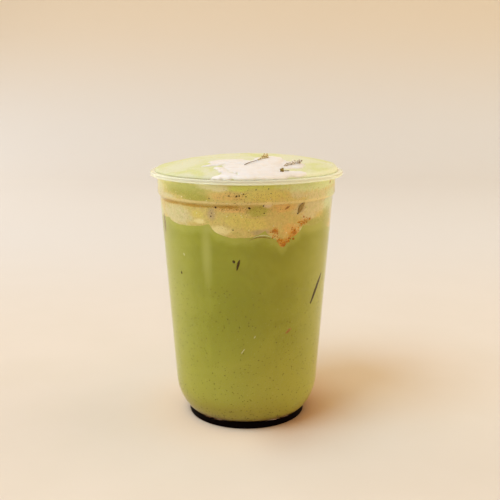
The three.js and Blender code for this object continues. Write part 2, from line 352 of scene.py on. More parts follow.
def turned_wall_tree():
    """Turns an outline of points, with radius in x and height in z, into a closed wall about +Z."""
    tree = bpy.data.node_groups.new("turned_wall", "GeometryNodeTree")
    takes = {
        "Outline": ("NodeSocketGeometry", None),
        "Sides": ("NodeSocketInt", CUP_SIDES),
        "Material": ("NodeSocketMaterial", None),
    }
    given, end = tree_sockets(tree, takes, {"Wall": "NodeSocketGeometry"})
    size = place(tree, "GeometryNodeAttributeDomainSize", {"Geometry": given["Outline"]})
    rows = size.outputs["Point Count"]
    columns = calculate(tree, "ADD", given["Sides"], 1)
    grid = place(tree, "GeometryNodeMeshGrid", {"Vertices X": columns, "Vertices Y": rows})
    index = place(tree, "GeometryNodeInputIndex").outputs[0]
    column = calculate(tree, "FLOOR", calculate(tree, "DIVIDE", index, rows))
    row = calculate(tree, "MODULO", index, rows)
    angle = calculate(tree, "MULTIPLY", calculate(tree, "DIVIDE", column, given["Sides"]), TURN)
    position = place(tree, "GeometryNodeInputPosition").outputs[0]
    outline = place(
        tree,
        "GeometryNodeSampleIndex",
        {"Geometry": given["Outline"], "Index": row},
        data_type="FLOAT_VECTOR",
    )
    tree.links.new(position, outline.inputs["Value"])
    parts = place(tree, "ShaderNodeSeparateXYZ", {0: outline.outputs["Value"]})
    x = calculate(tree, "MULTIPLY", parts.outputs["X"], calculate(tree, "SINE", angle))
    y = calculate(tree, "MULTIPLY", parts.outputs["X"], calculate(tree, "COSINE", angle))
    minus_y = calculate(tree, "MULTIPLY", y, -1)
    place_at = place(tree, "ShaderNodeCombineXYZ", {"X": x, "Y": minus_y, "Z": parts.outputs["Z"]})
    moved = place(
        tree, "GeometryNodeSetPosition", {"Geometry": grid.outputs["Mesh"], "Position": place_at.outputs[0]}
    )
    closed = place(tree, "GeometryNodeMergeByDistance", {"Geometry": moved.outputs[0], "Distance": 1e-6})
    smooth = place(tree, "GeometryNodeSetShadeSmooth", {"Geometry": closed.outputs[0]})
    whole = place(tree, "GeometryNodeRealizeInstances", {"Geometry": smooth.outputs[0]})
    dressed = place(
        tree, "GeometryNodeSetMaterial", {"Geometry": whole.outputs[0], "Material": given["Material"]}
    )
    tree.links.new(dressed.outputs[0], end.inputs[0])
    return tree


def bits_tree():
    """Puts a small uneven lump on every point, as large as the point's size attribute says."""
    tree = bpy.data.node_groups.new("bits_on_points", "GeometryNodeTree")
    takes = {
        "Points": ("NodeSocketGeometry", None),
        "Detail": ("NodeSocketInt", 2),
        "Uneven": ("NodeSocketFloat", 0.3),
        "Rough": ("NodeSocketFloat", 0.0),
        "Seed": ("NodeSocketInt", 1),
        "Material": ("NodeSocketMaterial", None),
    }
    given, end = tree_sockets(tree, takes, {"Bits": "NodeSocketGeometry"})
    lump = place(tree, "GeometryNodeMeshIcoSphere", {"Radius": 1.0, "Subdivisions": given["Detail"]})
    shortest = calculate(tree, "SUBTRACT", 1, given["Uneven"])
    least = place(tree, "ShaderNodeCombineXYZ", {"X": shortest, "Y": shortest, "Z": shortest})
    stretch = place(
        tree,
        "FunctionNodeRandomValue",
        {"Min": least.outputs[0], "Max": (1, 1, 1), "Seed": given["Seed"]},
        data_type="FLOAT_VECTOR",
    )
    size = place(tree, "GeometryNodeInputNamedAttribute", {"Name": "size"}, data_type="FLOAT")
    scale = place(
        tree,
        "ShaderNodeVectorMath",
        {0: stretch.outputs[0], "Scale": size.outputs[0]},
        operation="SCALE",
    )
    spin = place(
        tree,
        "FunctionNodeRandomValue",
        {"Min": (0, 0, 0), "Max": (TURN, TURN, TURN), "Seed": given["Seed"]},
        data_type="FLOAT_VECTOR",
    )
    turned = place(tree, "FunctionNodeEulerToRotation", {0: spin.outputs[0]})
    placed = place(
        tree,
        "GeometryNodeInstanceOnPoints",
        {
            "Points": given["Points"],
            "Instance": lump.outputs["Mesh"],
            "Rotation": turned.outputs[0],
            "Scale": scale.outputs[0],
        },
    )
    whole = place(tree, "GeometryNodeRealizeInstances", {"Geometry": placed.outputs[0]})
    grain = place(tree, "ShaderNodeTexNoise", {"Scale": 1800.0, "Detail": 1.0})
    swell = calculate(tree, "MULTIPLY", calculate(tree, "SUBTRACT", grain.outputs[0], 0.5), given["Rough"])
    normal = place(tree, "GeometryNodeInputNormal")
    offset = place(
        tree, "ShaderNodeVectorMath", {0: normal.outputs[0], "Scale": swell}, operation="SCALE"
    )
    roughened = place(
        tree, "GeometryNodeSetPosition", {"Geometry": whole.outputs[0], "Offset": offset.outputs[0]}
    )
    smooth = place(tree, "GeometryNodeSetShadeSmooth", {"Geometry": roughened.outputs[0]})
    dressed = place(
        tree, "GeometryNodeSetMaterial", {"Geometry": smooth.outputs[0], "Material": given["Material"]}
    )
    tree.links.new(dressed.outputs[0], end.inputs[0])
    return tree


def sprig_tree():
    """Grows a tapered stem along every line of points, with leaning florets round its far part.

    Fan says how much larger the florets grow towards the tip.
    """
    tree = bpy.data.node_groups.new("dried_sprig", "GeometryNodeTree")
    takes = {
        "Lines": ("NodeSocketGeometry", None),
        "Stem Radius": ("NodeSocketFloat", 0.3 * MM),
        "Head Start": ("NodeSocketFloat", 0.6),
        "Florets": ("NodeSocketInt", 20),
        "Floret Length": ("NodeSocketFloat", 1.2 * MM),
        "Floret Width": ("NodeSocketFloat", 0.4 * MM),
        "Lean": ("NodeSocketFloat", 0.6),
        "Fan": ("NodeSocketFloat", 0.0),
        "Seed": ("NodeSocketInt", 1),
        "Stem Material": ("NodeSocketMaterial", None),
        "Floret Material": ("NodeSocketMaterial", None),
    }
    given, end = tree_sockets(tree, takes, {"Sprig": "NodeSocketGeometry"})
    line = place(tree, "GeometryNodeMeshToCurve", {"Mesh": given["Lines"]}).outputs[0]
    along = place(tree, "GeometryNodeSplineParameter").outputs["Factor"]
    thin = calculate(tree, "SUBTRACT", 1, calculate(tree, "MULTIPLY", along, 0.45))
    tapered = place(
        tree,
        "GeometryNodeSetCurveRadius",
        {"Curve": line, "Radius": calculate(tree, "MULTIPLY", thin, given["Stem Radius"])},
    )
    section = place(tree, "GeometryNodeCurvePrimitiveCircle", {"Resolution": 8, "Radius": 1.0})
    radius = place(tree, "GeometryNodeInputRadius")
    stem = place(
        tree,
        "GeometryNodeCurveToMesh",
        {
            "Curve": tapered.outputs[0],
            "Profile Curve": section.outputs[0],
            "Scale": radius.outputs[0],
            "Fill Caps": True,
        },
    )
    stem_dressed = place(
        tree, "GeometryNodeSetMaterial", {"Geometry": stem.outputs[0], "Material": given["Stem Material"]}
    )
    head = place(tree, "GeometryNodeTrimCurve", {"Curve": line, "Start": given["Head Start"], "End": 1.0})
    stops = place(
        tree, "GeometryNodeResampleCurve", {"Curve": head.outputs[0], "Count": given["Florets"]}
    )
    tangent = place(tree, "GeometryNodeInputTangent")
    facing = place(
        tree, "FunctionNodeAlignRotationToVector", {"Vector": tangent.outputs[0]}, axis="Z"
    )
    index = place(tree, "GeometryNodeInputIndex").outputs[0]
    golden = calculate(tree, "MULTIPLY", index, GOLDEN_TURN)
    twist = place(tree, "ShaderNodeCombineXYZ", {"Z": golden})
    jitter = place(
        tree,
        "FunctionNodeRandomValue",
        {2: 0.55, 3: 1.35, "Seed": given["Seed"]},
        data_type="FLOAT",
    )
    lean = place(
        tree, "ShaderNodeCombineXYZ", {"X": calculate(tree, "MULTIPLY", given["Lean"], jitter.outputs[1])}
    )
    twisted = place(
        tree,
        "FunctionNodeRotateRotation",
        {
            "Rotation": facing.outputs[0],
            "Rotate By": place(tree, "FunctionNodeEulerToRotation", {0: twist.outputs[0]}).outputs[0],
        },
        rotation_space="LOCAL",
    )
    leaned = place(
        tree,
        "FunctionNodeRotateRotation",
        {
            "Rotation": twisted.outputs[0],
            "Rotate By": place(tree, "FunctionNodeEulerToRotation", {0: lean.outputs[0]}).outputs[0],
        },
        rotation_space="LOCAL",
    )
    ball = place(tree, "GeometryNodeMeshUVSphere", {"Segments": 8, "Rings": 6, "Radius": 0.5})
    raised = place(
        tree,
        "GeometryNodeTransform",
        {"Geometry": ball.outputs["Mesh"], "Translation": (0, 0, 0.45)},
    )
    shape = place(
        tree,
        "ShaderNodeCombineXYZ",
        {"X": given["Floret Width"], "Y": given["Floret Width"], "Z": given["Floret Length"]},
    )
    stop = calculate(tree, "MODULO", index, given["Florets"])
    ahead = calculate(tree, "SUBTRACT", calculate(tree, "DIVIDE", stop, given["Florets"]), 0.5)
    growth = calculate(tree, "ADD", 1, calculate(tree, "MULTIPLY", given["Fan"], ahead))
    grown = calculate(tree, "MULTIPLY", growth, jitter.outputs[1])
    size = place(
        tree, "ShaderNodeVectorMath", {0: shape.outputs[0], "Scale": grown}, operation="SCALE"
    )
    florets = place(
        tree,
        "GeometryNodeInstanceOnPoints",
        {
            "Points": stops.outputs[0],
            "Instance": raised.outputs[0],
            "Rotation": leaned.outputs[0],
            "Scale": size.outputs[0],
        },
    )
    florets_dressed = place(
        tree,
        "GeometryNodeSetMaterial",
        {"Geometry": florets.outputs[0], "Material": given["Floret Material"]},
    )
    both = place(tree, "GeometryNodeJoinGeometry")
    tree.links.new(stem_dressed.outputs[0], both.inputs[0])
    tree.links.new(florets_dressed.outputs[0], both.inputs[0])
    whole = place(tree, "GeometryNodeRealizeInstances", {"Geometry": both.outputs[0]})
    smooth = place(tree, "GeometryNodeSetShadeSmooth", {"Geometry": whole.outputs[0]})
    tree.links.new(smooth.outputs[0], end.inputs[0])
    return tree


# Colours

CUP_IOR = 1.3  # low, as the wall is thin and shows little sheen
LIP_CLEARNESS = 0.38  # the lip is folded double and is made milky and less clear, as painted light for the bright look a clear lip gets from refracted light


def tint(red, green, blue):
    """A colour given as screen values from 0 to 255, as the shader's linear values."""
    linear = []
    for value in (red, green, blue):
        c = value / 255
        linear.append(c / 12.92 if c <= 0.04045 else ((c + 0.055) / 1.055) ** 2.4)
    return (*linear, 1.0)


# How much lighter red, green and blue are made behind the wall
LATTE_GAIN = (1.39, 1.5, 1.27)
FOAM_GAIN = (1.21, 1.32, 1.29)


def behind_wall(red, green, blue, gain=FOAM_GAIN):
    """A colour given as it reads through the cup: the wall darkens it and lays a sheen on it."""
    plain = tint(red, green, blue)
    return (*(min(0.95, value * more) for value, more in zip(plain, gain)), 1.0)


LATTE_DEEP = behind_wall(137, 130, 41, LATTE_GAIN)
LATTE_LIGHT = behind_wall(147, 139, 48, LATTE_GAIN)
LATTE_LOW = behind_wall(168, 154, 70, LATTE_GAIN)
LATTE_HALO = behind_wall(170, 162, 78, LATTE_GAIN)
LATTE_MILK = behind_wall(166, 156, 84, LATTE_GAIN)
LATTE_BASE_SHADE = behind_wall(120, 84, 34, LATTE_GAIN)
FOAM_TAN = behind_wall(210, 176, 104)
FOAM_GOLD = behind_wall(212, 184, 110)
FOAM_SHADE = (0.86, 0.83, 0.76, 1.0)
FOAM_MOSS = (0.84, 0.95, 0.7, 1.0)
FOAM_PAINTED_LIGHT = behind_wall(250, 226, 140)
FOAM_PORES = tint(168, 150, 70)
FOAM_DOME = tint(217, 221, 190)
FOAM_DOME_GREEN = tint(208, 215, 152)
FOAM_DOME_EDGE_LIGHT = tint(231, 239, 207)
FOAM_PATCH_TINTS = {
    "beige": behind_wall(213, 190, 146),
    "green": behind_wall(172, 156, 62),
    "under_lip_light": behind_wall(214, 205, 78),
    "lime": behind_wall(210, 206, 164),
    "gold": behind_wall(218, 190, 101),
    "brown": behind_wall(224, 176, 103),
    "olive": behind_wall(184, 168, 68),
    "pink": behind_wall(250, 200, 166),
    "grey": behind_wall(192, 158, 116),
    "seam_and_step_shadow": behind_wall(190, 141, 46),
    "peach_and_step_highlight": behind_wall(232, 202, 142),
    "syrup": behind_wall(210, 146, 50),
    "rust": behind_wall(176, 96, 0),
    "drink": LATTE_MILK,
}
FINE_KINDS = ("syrup", "rust")
PALE_KINDS = ("pink", "peach_and_step_highlight")
CREAM_WHITE = tint(230, 230, 228)
CREAM_WARM = tint(228, 224, 217)
CREAM_THIN = tint(226, 224, 196)
CREAM_EDGE_LIGHT = tint(250, 248, 243)
PLASTIC_TINTS = (tint(253, 252, 248), tint(249, 248, 243))
PLASTIC_FOOT_SHADE = tint(120, 88, 60)
PLASTIC_SHADOW = tint(250, 248, 242)
LIP_TINTS = (tint(249, 248, 226), tint(244, 243, 216))
LIP_SHADOW = tint(254, 253, 250)
# painted shadow: the clear foot ring is tinted near-black for the shaded gap under the cup
FOOT_SHADOW_TINTS = (tint(5, 2, 3), tint(11, 5, 5))
STEM_TINTS = (tint(84, 70, 50), tint(140, 122, 84))
SPECK_TINTS = (tint(48, 28, 2), tint(84, 54, 6))
FRECKLE_TINTS = (tint(124, 68, 14), tint(168, 106, 34))
CRUMB_TINTS = (behind_wall(158, 78, 0), behind_wall(206, 132, 4))
BUBBLE_TINTS = (tint(232, 216, 160), tint(246, 236, 190))
TEA_TINTS = (tint(72, 64, 10), tint(108, 96, 26))
MILK_TINTS = (tint(190, 184, 96), tint(214, 206, 124))
LEAF_TINTS = (tint(62, 47, 12), tint(94, 76, 24))
PALE_TINTS = (tint(214, 206, 150), tint(236, 230, 180))
GREY_TINTS = (tint(150, 122, 52), tint(176, 148, 84))
SMEAR_TINTS = (tint(166, 112, 44), tint(196, 146, 74))
PAPER_TINTS = (tint(220, 213, 200), tint(222, 215, 203))
PAPER_FAR_COOL_LIGHT = tint(218, 218, 215)
PAPER_HIGH_SHADE = tint(222, 208, 185)
PAPER_LIT_SIDE_GLOW = tint(238, 217, 191)
PAPER_SHADOW_SIDE = tint(204, 169, 135)
PAPER_CONTACT_SHADOW = tint(120, 84, 54)
WALL_SEEN = tint(232, 217, 196)

# Heights between which a colour gives way to the next; the ones across and back run along +X and +Y
PLASTIC_SHADE_HEIGHTS = (5.0, 3.3)
LATTE_PALES = (62, 12)
LATTE_SHADE_HEIGHTS = (6.4, 3.6)
FOAM_PAINTED_LIGHT_HEIGHTS = (109.5, 116)
FOAM_TURNS_DOME = (115.5, 116.6)
DOME_EDGE_LIGHT_HEIGHTS = (120.6, 119.2)
DOME_EDGE_LIGHT_ACROSS = (2, 18)
CREAM_LIGHT_HEIGHTS = (120.5, 119.0)
PAPER_COOL_LIGHT_BACK = (0, 480)
PAPER_SHADE_UP = (20, 330)
SHADE_ACROSS = (-5, 25)


# Shared shader effects


def marbled_edge_group():
    """Turns a smooth amount into patches with ragged, swirled edges."""
    tree = bpy.data.node_groups.new("marbled_edge", "ShaderNodeTree")
    takes = {
        "Vector": ("NodeSocketVector", None),
        "Amount": ("NodeSocketFloat", 0.5),
        "Scale": ("NodeSocketFloat", 0.4),
        "Ragged": ("NodeSocketFloat", 0.8),
        "Softness": ("NodeSocketFloat", 0.15),
    }
    given, end = tree_sockets(tree, takes, {"Factor": "NodeSocketFloat"})
    swirl = place(
        tree,
        "ShaderNodeTexNoise",
        {
            "Vector": given["Vector"],
            "Scale": given["Scale"],
            "Detail": 5.0,
            "Roughness": 0.62,
            "Distortion": 1.4,
        },
    )
    shift = calculate(tree, "MULTIPLY", calculate(tree, "SUBTRACT", swirl.outputs[0], 0.5), given["Ragged"])
    value = calculate(tree, "ADD", given["Amount"], shift)
    low = calculate(tree, "SUBTRACT", 0.5, given["Softness"])
    high = calculate(tree, "ADD", 0.5, given["Softness"])
    step = place(
        tree,
        "ShaderNodeMapRange",
        {"Value": value, "From Min": low, "From Max": high},
        interpolation_type="SMOOTHSTEP",
    )
    tree.links.new(step.outputs[0], end.inputs["Factor"])
    return tree


def soft_bubbles_group():
    """The height of small bubbles packed side by side, with a slow change of their size."""
    tree = bpy.data.node_groups.new("soft_bubbles", "ShaderNodeTree")
    takes = {
        "Vector": ("NodeSocketVector", None),
        "Scale": ("NodeSocketFloat", 1.5),
    }
    gives = {"Height": "NodeSocketFloat", "Pores": "NodeSocketFloat"}
    given, end = tree_sockets(tree, takes, gives)
    drift = place(
        tree, "ShaderNodeTexNoise", {"Vector": given["Vector"], "Scale": 0.25, "Detail": 2.0}
    )
    bubbles = place(
        tree,
        "ShaderNodeTexVoronoi",
        {"Vector": given["Vector"], "Scale": given["Scale"], "Smoothness": 0.3},
        feature="SMOOTH_F1",
    )
    height = calculate(tree, "MULTIPLY", bubbles.outputs["Distance"], drift.outputs[0])
    pores = place(
        tree,
        "ShaderNodeMapRange",
        {"Value": bubbles.outputs["Distance"], "From Min": 0.55, "From Max": 0.9},
    )
    tree.links.new(height, end.inputs["Height"])
    tree.links.new(pores.outputs[0], end.inputs["Pores"])
    return tree


MARBLED_EDGE = marbled_edge_group()
SOFT_BUBBLES = soft_bubbles_group()


# Materials


def new_material(name):
    """A bare material, its tree, its Principled shader and its coordinates in millimetres."""
    material = bpy.data.materials.new(name)
    material.use_nodes = True
    tree = material.node_tree
    tree.nodes.clear()
    shader = tree.nodes.new("ShaderNodeBsdfPrincipled")
    output = tree.nodes.new("ShaderNodeOutputMaterial")
    tree.links.new(shader.outputs[0], output.inputs["Surface"])
    coordinates = tree.nodes.new("ShaderNodeTexCoord")
    grown = place(
        tree,
        "ShaderNodeMapping",
        {"Vector": coordinates.outputs["Object"], "Scale": (1 / MM, 1 / MM, 1 / MM)},
    )
    return material, tree, shader, grown.outputs[0]


def grouped(tree, group, inputs):
    """Places a shared effect and returns its outputs."""
    return place(tree, "ShaderNodeGroup", inputs, node_tree=group).outputs


def marbled(tree, where, amount, scale, ragged, softness):
    """An amount as patches with ragged edges."""
    inputs = {"Vector": where, "Amount": amount, "Scale": scale, "Ragged": ragged, "Softness": softness}
    return grouped(tree, MARBLED_EDGE, inputs)[0]


def mixed(tree, factor, a, b, kind="MIX"):
    """Mixes two colours; each may be a plain colour or a socket."""
    node = tree.nodes.new("ShaderNodeMix")
    node.data_type = "RGBA"
    node.blend_type = kind
    for socket, value in ((node.inputs[0], factor), (node.inputs[6], a), (node.inputs[7], b)):
        if isinstance(value, bpy.types.NodeSocket):
            tree.links.new(value, socket)
        else:
            socket.default_value = value
    return node.outputs[2]


def ramp(tree, value, low, high):
    """A smooth step from 0 at low to 1 at high."""
    node = place(
        tree,
        "ShaderNodeMapRange",
        {"Value": value, "From Min": low, "From Max": high},
        interpolation_type="SMOOTHSTEP",
    )
    return node.outputs[0]


def bumped(tree, shader, height, depth, strength):
    """Feeds a height to the shader's normal."""
    bump = place(tree, "ShaderNodeBump", {"Height": height, "Distance": depth * MM, "Strength": strength})
    tree.links.new(bump.outputs[0], shader.inputs["Normal"])


def noise_of(tree, where, scale, detail=3.0, roughness=0.5, distortion=0.0):
    """The value of a noise texture."""
    node = place(
        tree,
        "ShaderNodeTexNoise",
        {
            "Vector": where,
            "Scale": scale,
            "Detail": detail,
            "Roughness": roughness,
            "Distortion": distortion,
        },
    )
    return node.outputs[0]


def height_of(tree, where):
    """Height in millimetres."""
    return place(tree, "ShaderNodeSeparateXYZ", {0: where}).outputs["Z"]


def attribute_of(tree, name):
    """The value of one of the mesh's own attributes."""
    return place(tree, "ShaderNodeAttribute", attribute_name=name).outputs["Fac"]


def let_lamps_through(material, colour):
    """Mixes in plain transparency for shadow rays, so that lamp light reaches what is behind."""
    tree = material.node_tree
    shader = next(n for n in tree.nodes if n.type == "BSDF_PRINCIPLED")
    output = next(n for n in tree.nodes if n.type == "OUTPUT_MATERIAL")
    through = place(tree, "ShaderNodeBsdfTransparent", {"Color": colour})
    rays = tree.nodes.new("ShaderNodeLightPath")
    both = tree.nodes.new("ShaderNodeMixShader")
    tree.links.new(rays.outputs["Is Shadow Ray"], both.inputs[0])
    tree.links.new(shader.outputs[0], both.inputs[1])
    tree.links.new(through.outputs[0], both.inputs[2])
    tree.links.new(both.outputs[0], output.inputs["Surface"])


def clear_plastic_material():
    """Clear glossy plastic with faint scuffs and slow waves in its wall, with painted shade next to the
    foot.
    """
    material, tree, shader, where = new_material("clear_cup_plastic")
    haze = noise_of(tree, where, 0.05, 3.0)
    colour = mixed(tree, haze, *PLASTIC_TINTS)
    # painted shade: the wall darkens towards the foot, for the shadow under the cup
    low = ramp(tree, height_of(tree, where), *PLASTIC_SHADE_HEIGHTS)
    colour = mixed(tree, low, colour, PLASTIC_FOOT_SHADE)
    tree.links.new(colour, shader.inputs["Base Color"])
    shader.inputs["Transmission Weight"].default_value = 1.0
    shader.inputs["IOR"].default_value = CUP_IOR
    scuff = noise_of(tree, where, 0.9, 4.0)
    rough = place(tree, "ShaderNodeMapRange", {"Value": scuff, "To Min": 0.02, "To Max": 0.07})
    tree.links.new(rough.outputs[0], shader.inputs["Roughness"])
    bumped(tree, shader, noise_of(tree, where, 0.06, 2.0), 0.25, 0.25)
    let_lamps_through(material, PLASTIC_SHADOW)
    return material


def lip_plastic_material():
    """The same plastic where it is folded double, made milky and less clear as painted light: it stands in
    for the brightness a clear lip gets from refracted light.
    """
    material, tree, shader, where = new_material("milky_lip_plastic")
    haze = noise_of(tree, where, 0.12, 3.0)
    colour = mixed(tree, haze, *LIP_TINTS)
    tree.links.new(colour, shader.inputs["Base Color"])
    shader.inputs["Transmission Weight"].default_value = LIP_CLEARNESS
    shader.inputs["IOR"].default_value = CUP_IOR
    scuff = noise_of(tree, where, 0.9, 4.0)
    rough = place(tree, "ShaderNodeMapRange", {"Value": scuff, "To Min": 0.1, "To Max": 0.22})
    tree.links.new(rough.outputs[0], shader.inputs["Roughness"])
    let_lamps_through(material, LIP_SHADOW)
    return material


def foot_shadow_material():
    """The foot ring, painted near-black: painted shadow for the shaded gap under the cup, where the real
    ring is clear.
    """
    material, tree, shader, where = new_material("foot_painted_shadow")
    haze = noise_of(tree, where, 0.3, 3.0)
    colour = mixed(tree, haze, *FOOT_SHADOW_TINTS)
    tree.links.new(colour, shader.inputs["Base Color"])
    rough = place(tree, "ShaderNodeMapRange", {"Value": haze, "To Min": 0.45, "To Max": 0.6})
    tree.links.new(rough.outputs[0], shader.inputs["Roughness"])
    shader.inputs["Specular IOR Level"].default_value = 0.02
    return material


def latte_material():
    """Opaque green drink: slow swirls, pale streaks that are partly a painted reflection and painted side
    light, a paler rim under the foam and painted shade at its base.
    """
    material, tree, shader, where = new_material("green_latte")
    swirl = noise_of(tree, where, 0.045, 5.0, 0.6, 1.5)
    colour = mixed(tree, ramp(tree, swirl, 0.35, 0.7), LATTE_DEEP, LATTE_LIGHT)
    sunk = ramp(tree, height_of(tree, where), *LATTE_PALES)
    colour = mixed(tree, calculate(tree, "MULTIPLY", sunk, 0.6), colour, LATTE_LOW)
    below = attribute_of(tree, "below_foam")
    halo = ramp(tree, below, 7.0, -1.0)
    halo = marbled(tree, where, halo, 0.22, 0.9, 0.35)
    colour = mixed(tree, calculate(tree, "MULTIPLY", halo, 0.55), colour, LATTE_HALO)
    # pale streaks, partly painted: a painted reflection and painted side light
    milk = marbled(tree, where, attribute_of(tree, "milk"), 0.2, 0.3, 0.4)
    colour = mixed(tree, calculate(tree, "MULTIPLY", milk, 0.8), colour, LATTE_MILK)
    # painted shade: the drink darkens towards its base, where the foot's shadow falls
    base_shade = ramp(tree, height_of(tree, where), *LATTE_SHADE_HEIGHTS)
    colour = mixed(tree, calculate(tree, "MULTIPLY", base_shade, 0.8), colour, LATTE_BASE_SHADE)
    tree.links.new(colour, shader.inputs["Base Color"])
    rough = place(tree, "ShaderNodeMapRange", {"Value": swirl, "To Min": 0.45, "To Max": 0.6})
    tree.links.new(rough.outputs[0], shader.inputs["Roughness"])
    shader.inputs["Specular IOR Level"].default_value = 0.1
    return material


def with_patches(tree, where, colour, kinds):
    """Lays the foam's patches of these kinds over a colour."""
    for name in kinds:
        scale, ragged = (1.1, 1.5) if name in FINE_KINDS else (0.32, 0.7)
        edge = marbled(tree, where, attribute_of(tree, name), scale, ragged, 0.2)
        colour = mixed(tree, calculate(tree, "MULTIPLY", edge, 0.85), colour, FOAM_PATCH_TINTS[name])
    return colour


def foam_material():
    """Foam marbled in tans and greens at the wall, pale lime on the dome, with fine bubbles.

    The dome's edge is painted lighter on the right, and some patches are painted light and shade at the lip
    and step.
    """
    material, tree, shader, where = new_material("marbled_foam")
    z = height_of(tree, where)
    mottle = noise_of(tree, where, 0.5, 5.0, 0.65, 0.8)
    colour = mixed(tree, ramp(tree, mottle, 0.35, 0.7), FOAM_TAN, FOAM_GOLD)
    dull = [name for name in FOAM_PATCH_TINTS if name not in PALE_KINDS]
    colour = with_patches(tree, where, colour, dull)
    moss = ramp(tree, noise_of(tree, where, 0.45, 3.0, 0.6, 1.2), 0.48, 0.68)
    colour = mixed(tree, calculate(tree, "MULTIPLY", moss, 0.55), colour, FOAM_MOSS, "MULTIPLY")
    grain = noise_of(tree, where, 1.1, 5.0, 0.7)
    colour = mixed(tree, ramp(tree, grain, 0.62, 0.3), colour, FOAM_SHADE, "MULTIPLY")
    colour = with_patches(tree, where, colour, PALE_KINDS)
    # painted light: the band up to the lip is lightened, against the shade under the lip
    painted_light = calculate(tree, "MULTIPLY", ramp(tree, z, *FOAM_PAINTED_LIGHT_HEIGHTS), 0.4)
    colour = mixed(tree, painted_light, colour, FOAM_PAINTED_LIGHT)
    drift = noise_of(tree, where, 0.07, 4.0, 0.55, 0.6)
    dome = mixed(tree, ramp(tree, drift, 0.42, 0.66), FOAM_DOME, FOAM_DOME_GREEN)
    across = place(tree, "ShaderNodeSeparateXYZ", {0: where}).outputs[0]
    # painted light: the dome's edge on the right is lightened where it rounds down into shade
    right = ramp(tree, across, *DOME_EDGE_LIGHT_ACROSS)
    dome_edge_light = calculate(tree, "MULTIPLY", ramp(tree, z, *DOME_EDGE_LIGHT_HEIGHTS), right)
    dome = mixed(tree, dome_edge_light, dome, FOAM_DOME_EDGE_LIGHT)
    colour = mixed(tree, ramp(tree, z, *FOAM_TURNS_DOME), colour, dome)
    bubbles = grouped(tree, SOFT_BUBBLES, {"Vector": where, "Scale": 1.3})
    pores = calculate(tree, "MULTIPLY", bubbles["Pores"], 0.12)
    colour = mixed(tree, pores, colour, FOAM_PORES)
    tree.links.new(colour, shader.inputs["Base Color"])
    rough = place(tree, "ShaderNodeMapRange", {"Value": mottle, "To Min": 0.5, "To Max": 0.7})
    tree.links.new(rough.outputs[0], shader.inputs["Roughness"])
    shader.inputs["Specular IOR Level"].default_value = 0.25
    bumped(tree, shader, bubbles["Height"], 0.25, 0.35)
    return material


def cream_material():
    """Soft white cream, warmer in its folds, greener where it thins out and painted lighter at its low
    edge, as painted light on its steep front.
    """
    material, tree, shader, where = new_material("poured_cream")
    folds = noise_of(tree, where, 0.16, 3.0, 0.5, 1.2)
    colour = mixed(tree, ramp(tree, folds, 0.4, 0.68), CREAM_WHITE, CREAM_WARM)
    thin = ramp(tree, attribute_of(tree, "thickness"), 0.45, 0.02)
    thin = marbled(tree, where, thin, 0.3, 0.5, 0.4)
    colour = mixed(tree, calculate(tree, "MULTIPLY", thin, 0.7), colour, CREAM_THIN)
    # painted light: the low edge is whitened where its steep front falls into shade
    colour = mixed(tree, ramp(tree, height_of(tree, where), *CREAM_LIGHT_HEIGHTS), colour, CREAM_EDGE_LIGHT)
    tree.links.new(colour, shader.inputs["Base Color"])
    rough = place(tree, "ShaderNodeMapRange", {"Value": folds, "To Min": 0.35, "To Max": 0.5})
    tree.links.new(rough.outputs[0], shader.inputs["Roughness"])
    shader.inputs["Specular IOR Level"].default_value = 0.3
    shader.inputs["Subsurface Weight"].default_value = 0.5
    shader.inputs["Subsurface Radius"].default_value = (1.0, 0.9, 0.8)
    shader.inputs["Subsurface Scale"].default_value = 1.5 * MM
    bubbles = grouped(tree, SOFT_BUBBLES, {"Vector": where, "Scale": 1.8})
    bumped(tree, shader, bubbles["Height"], 0.1, 0.2)
    return material


def dry_material(name, dark, light, scale=1.6):
    """Dry plant matter, crumbs and specks: two shades in a fine grain."""
    material, tree, shader, where = new_material(name)
    grain = noise_of(tree, where, scale, 4.0, 0.6)
    colour = mixed(tree, ramp(tree, grain, 0.35, 0.65), dark, light)
    tree.links.new(colour, shader.inputs["Base Color"])
    rough = place(tree, "ShaderNodeMapRange", {"Value": grain, "To Min": 0.65, "To Max": 0.9})
    tree.links.new(rough.outputs[0], shader.inputs["Roughness"])
    shader.inputs["Specular IOR Level"].default_value = 0.1
    bumped(tree, shader, grain, 0.12, 0.5)
    return material


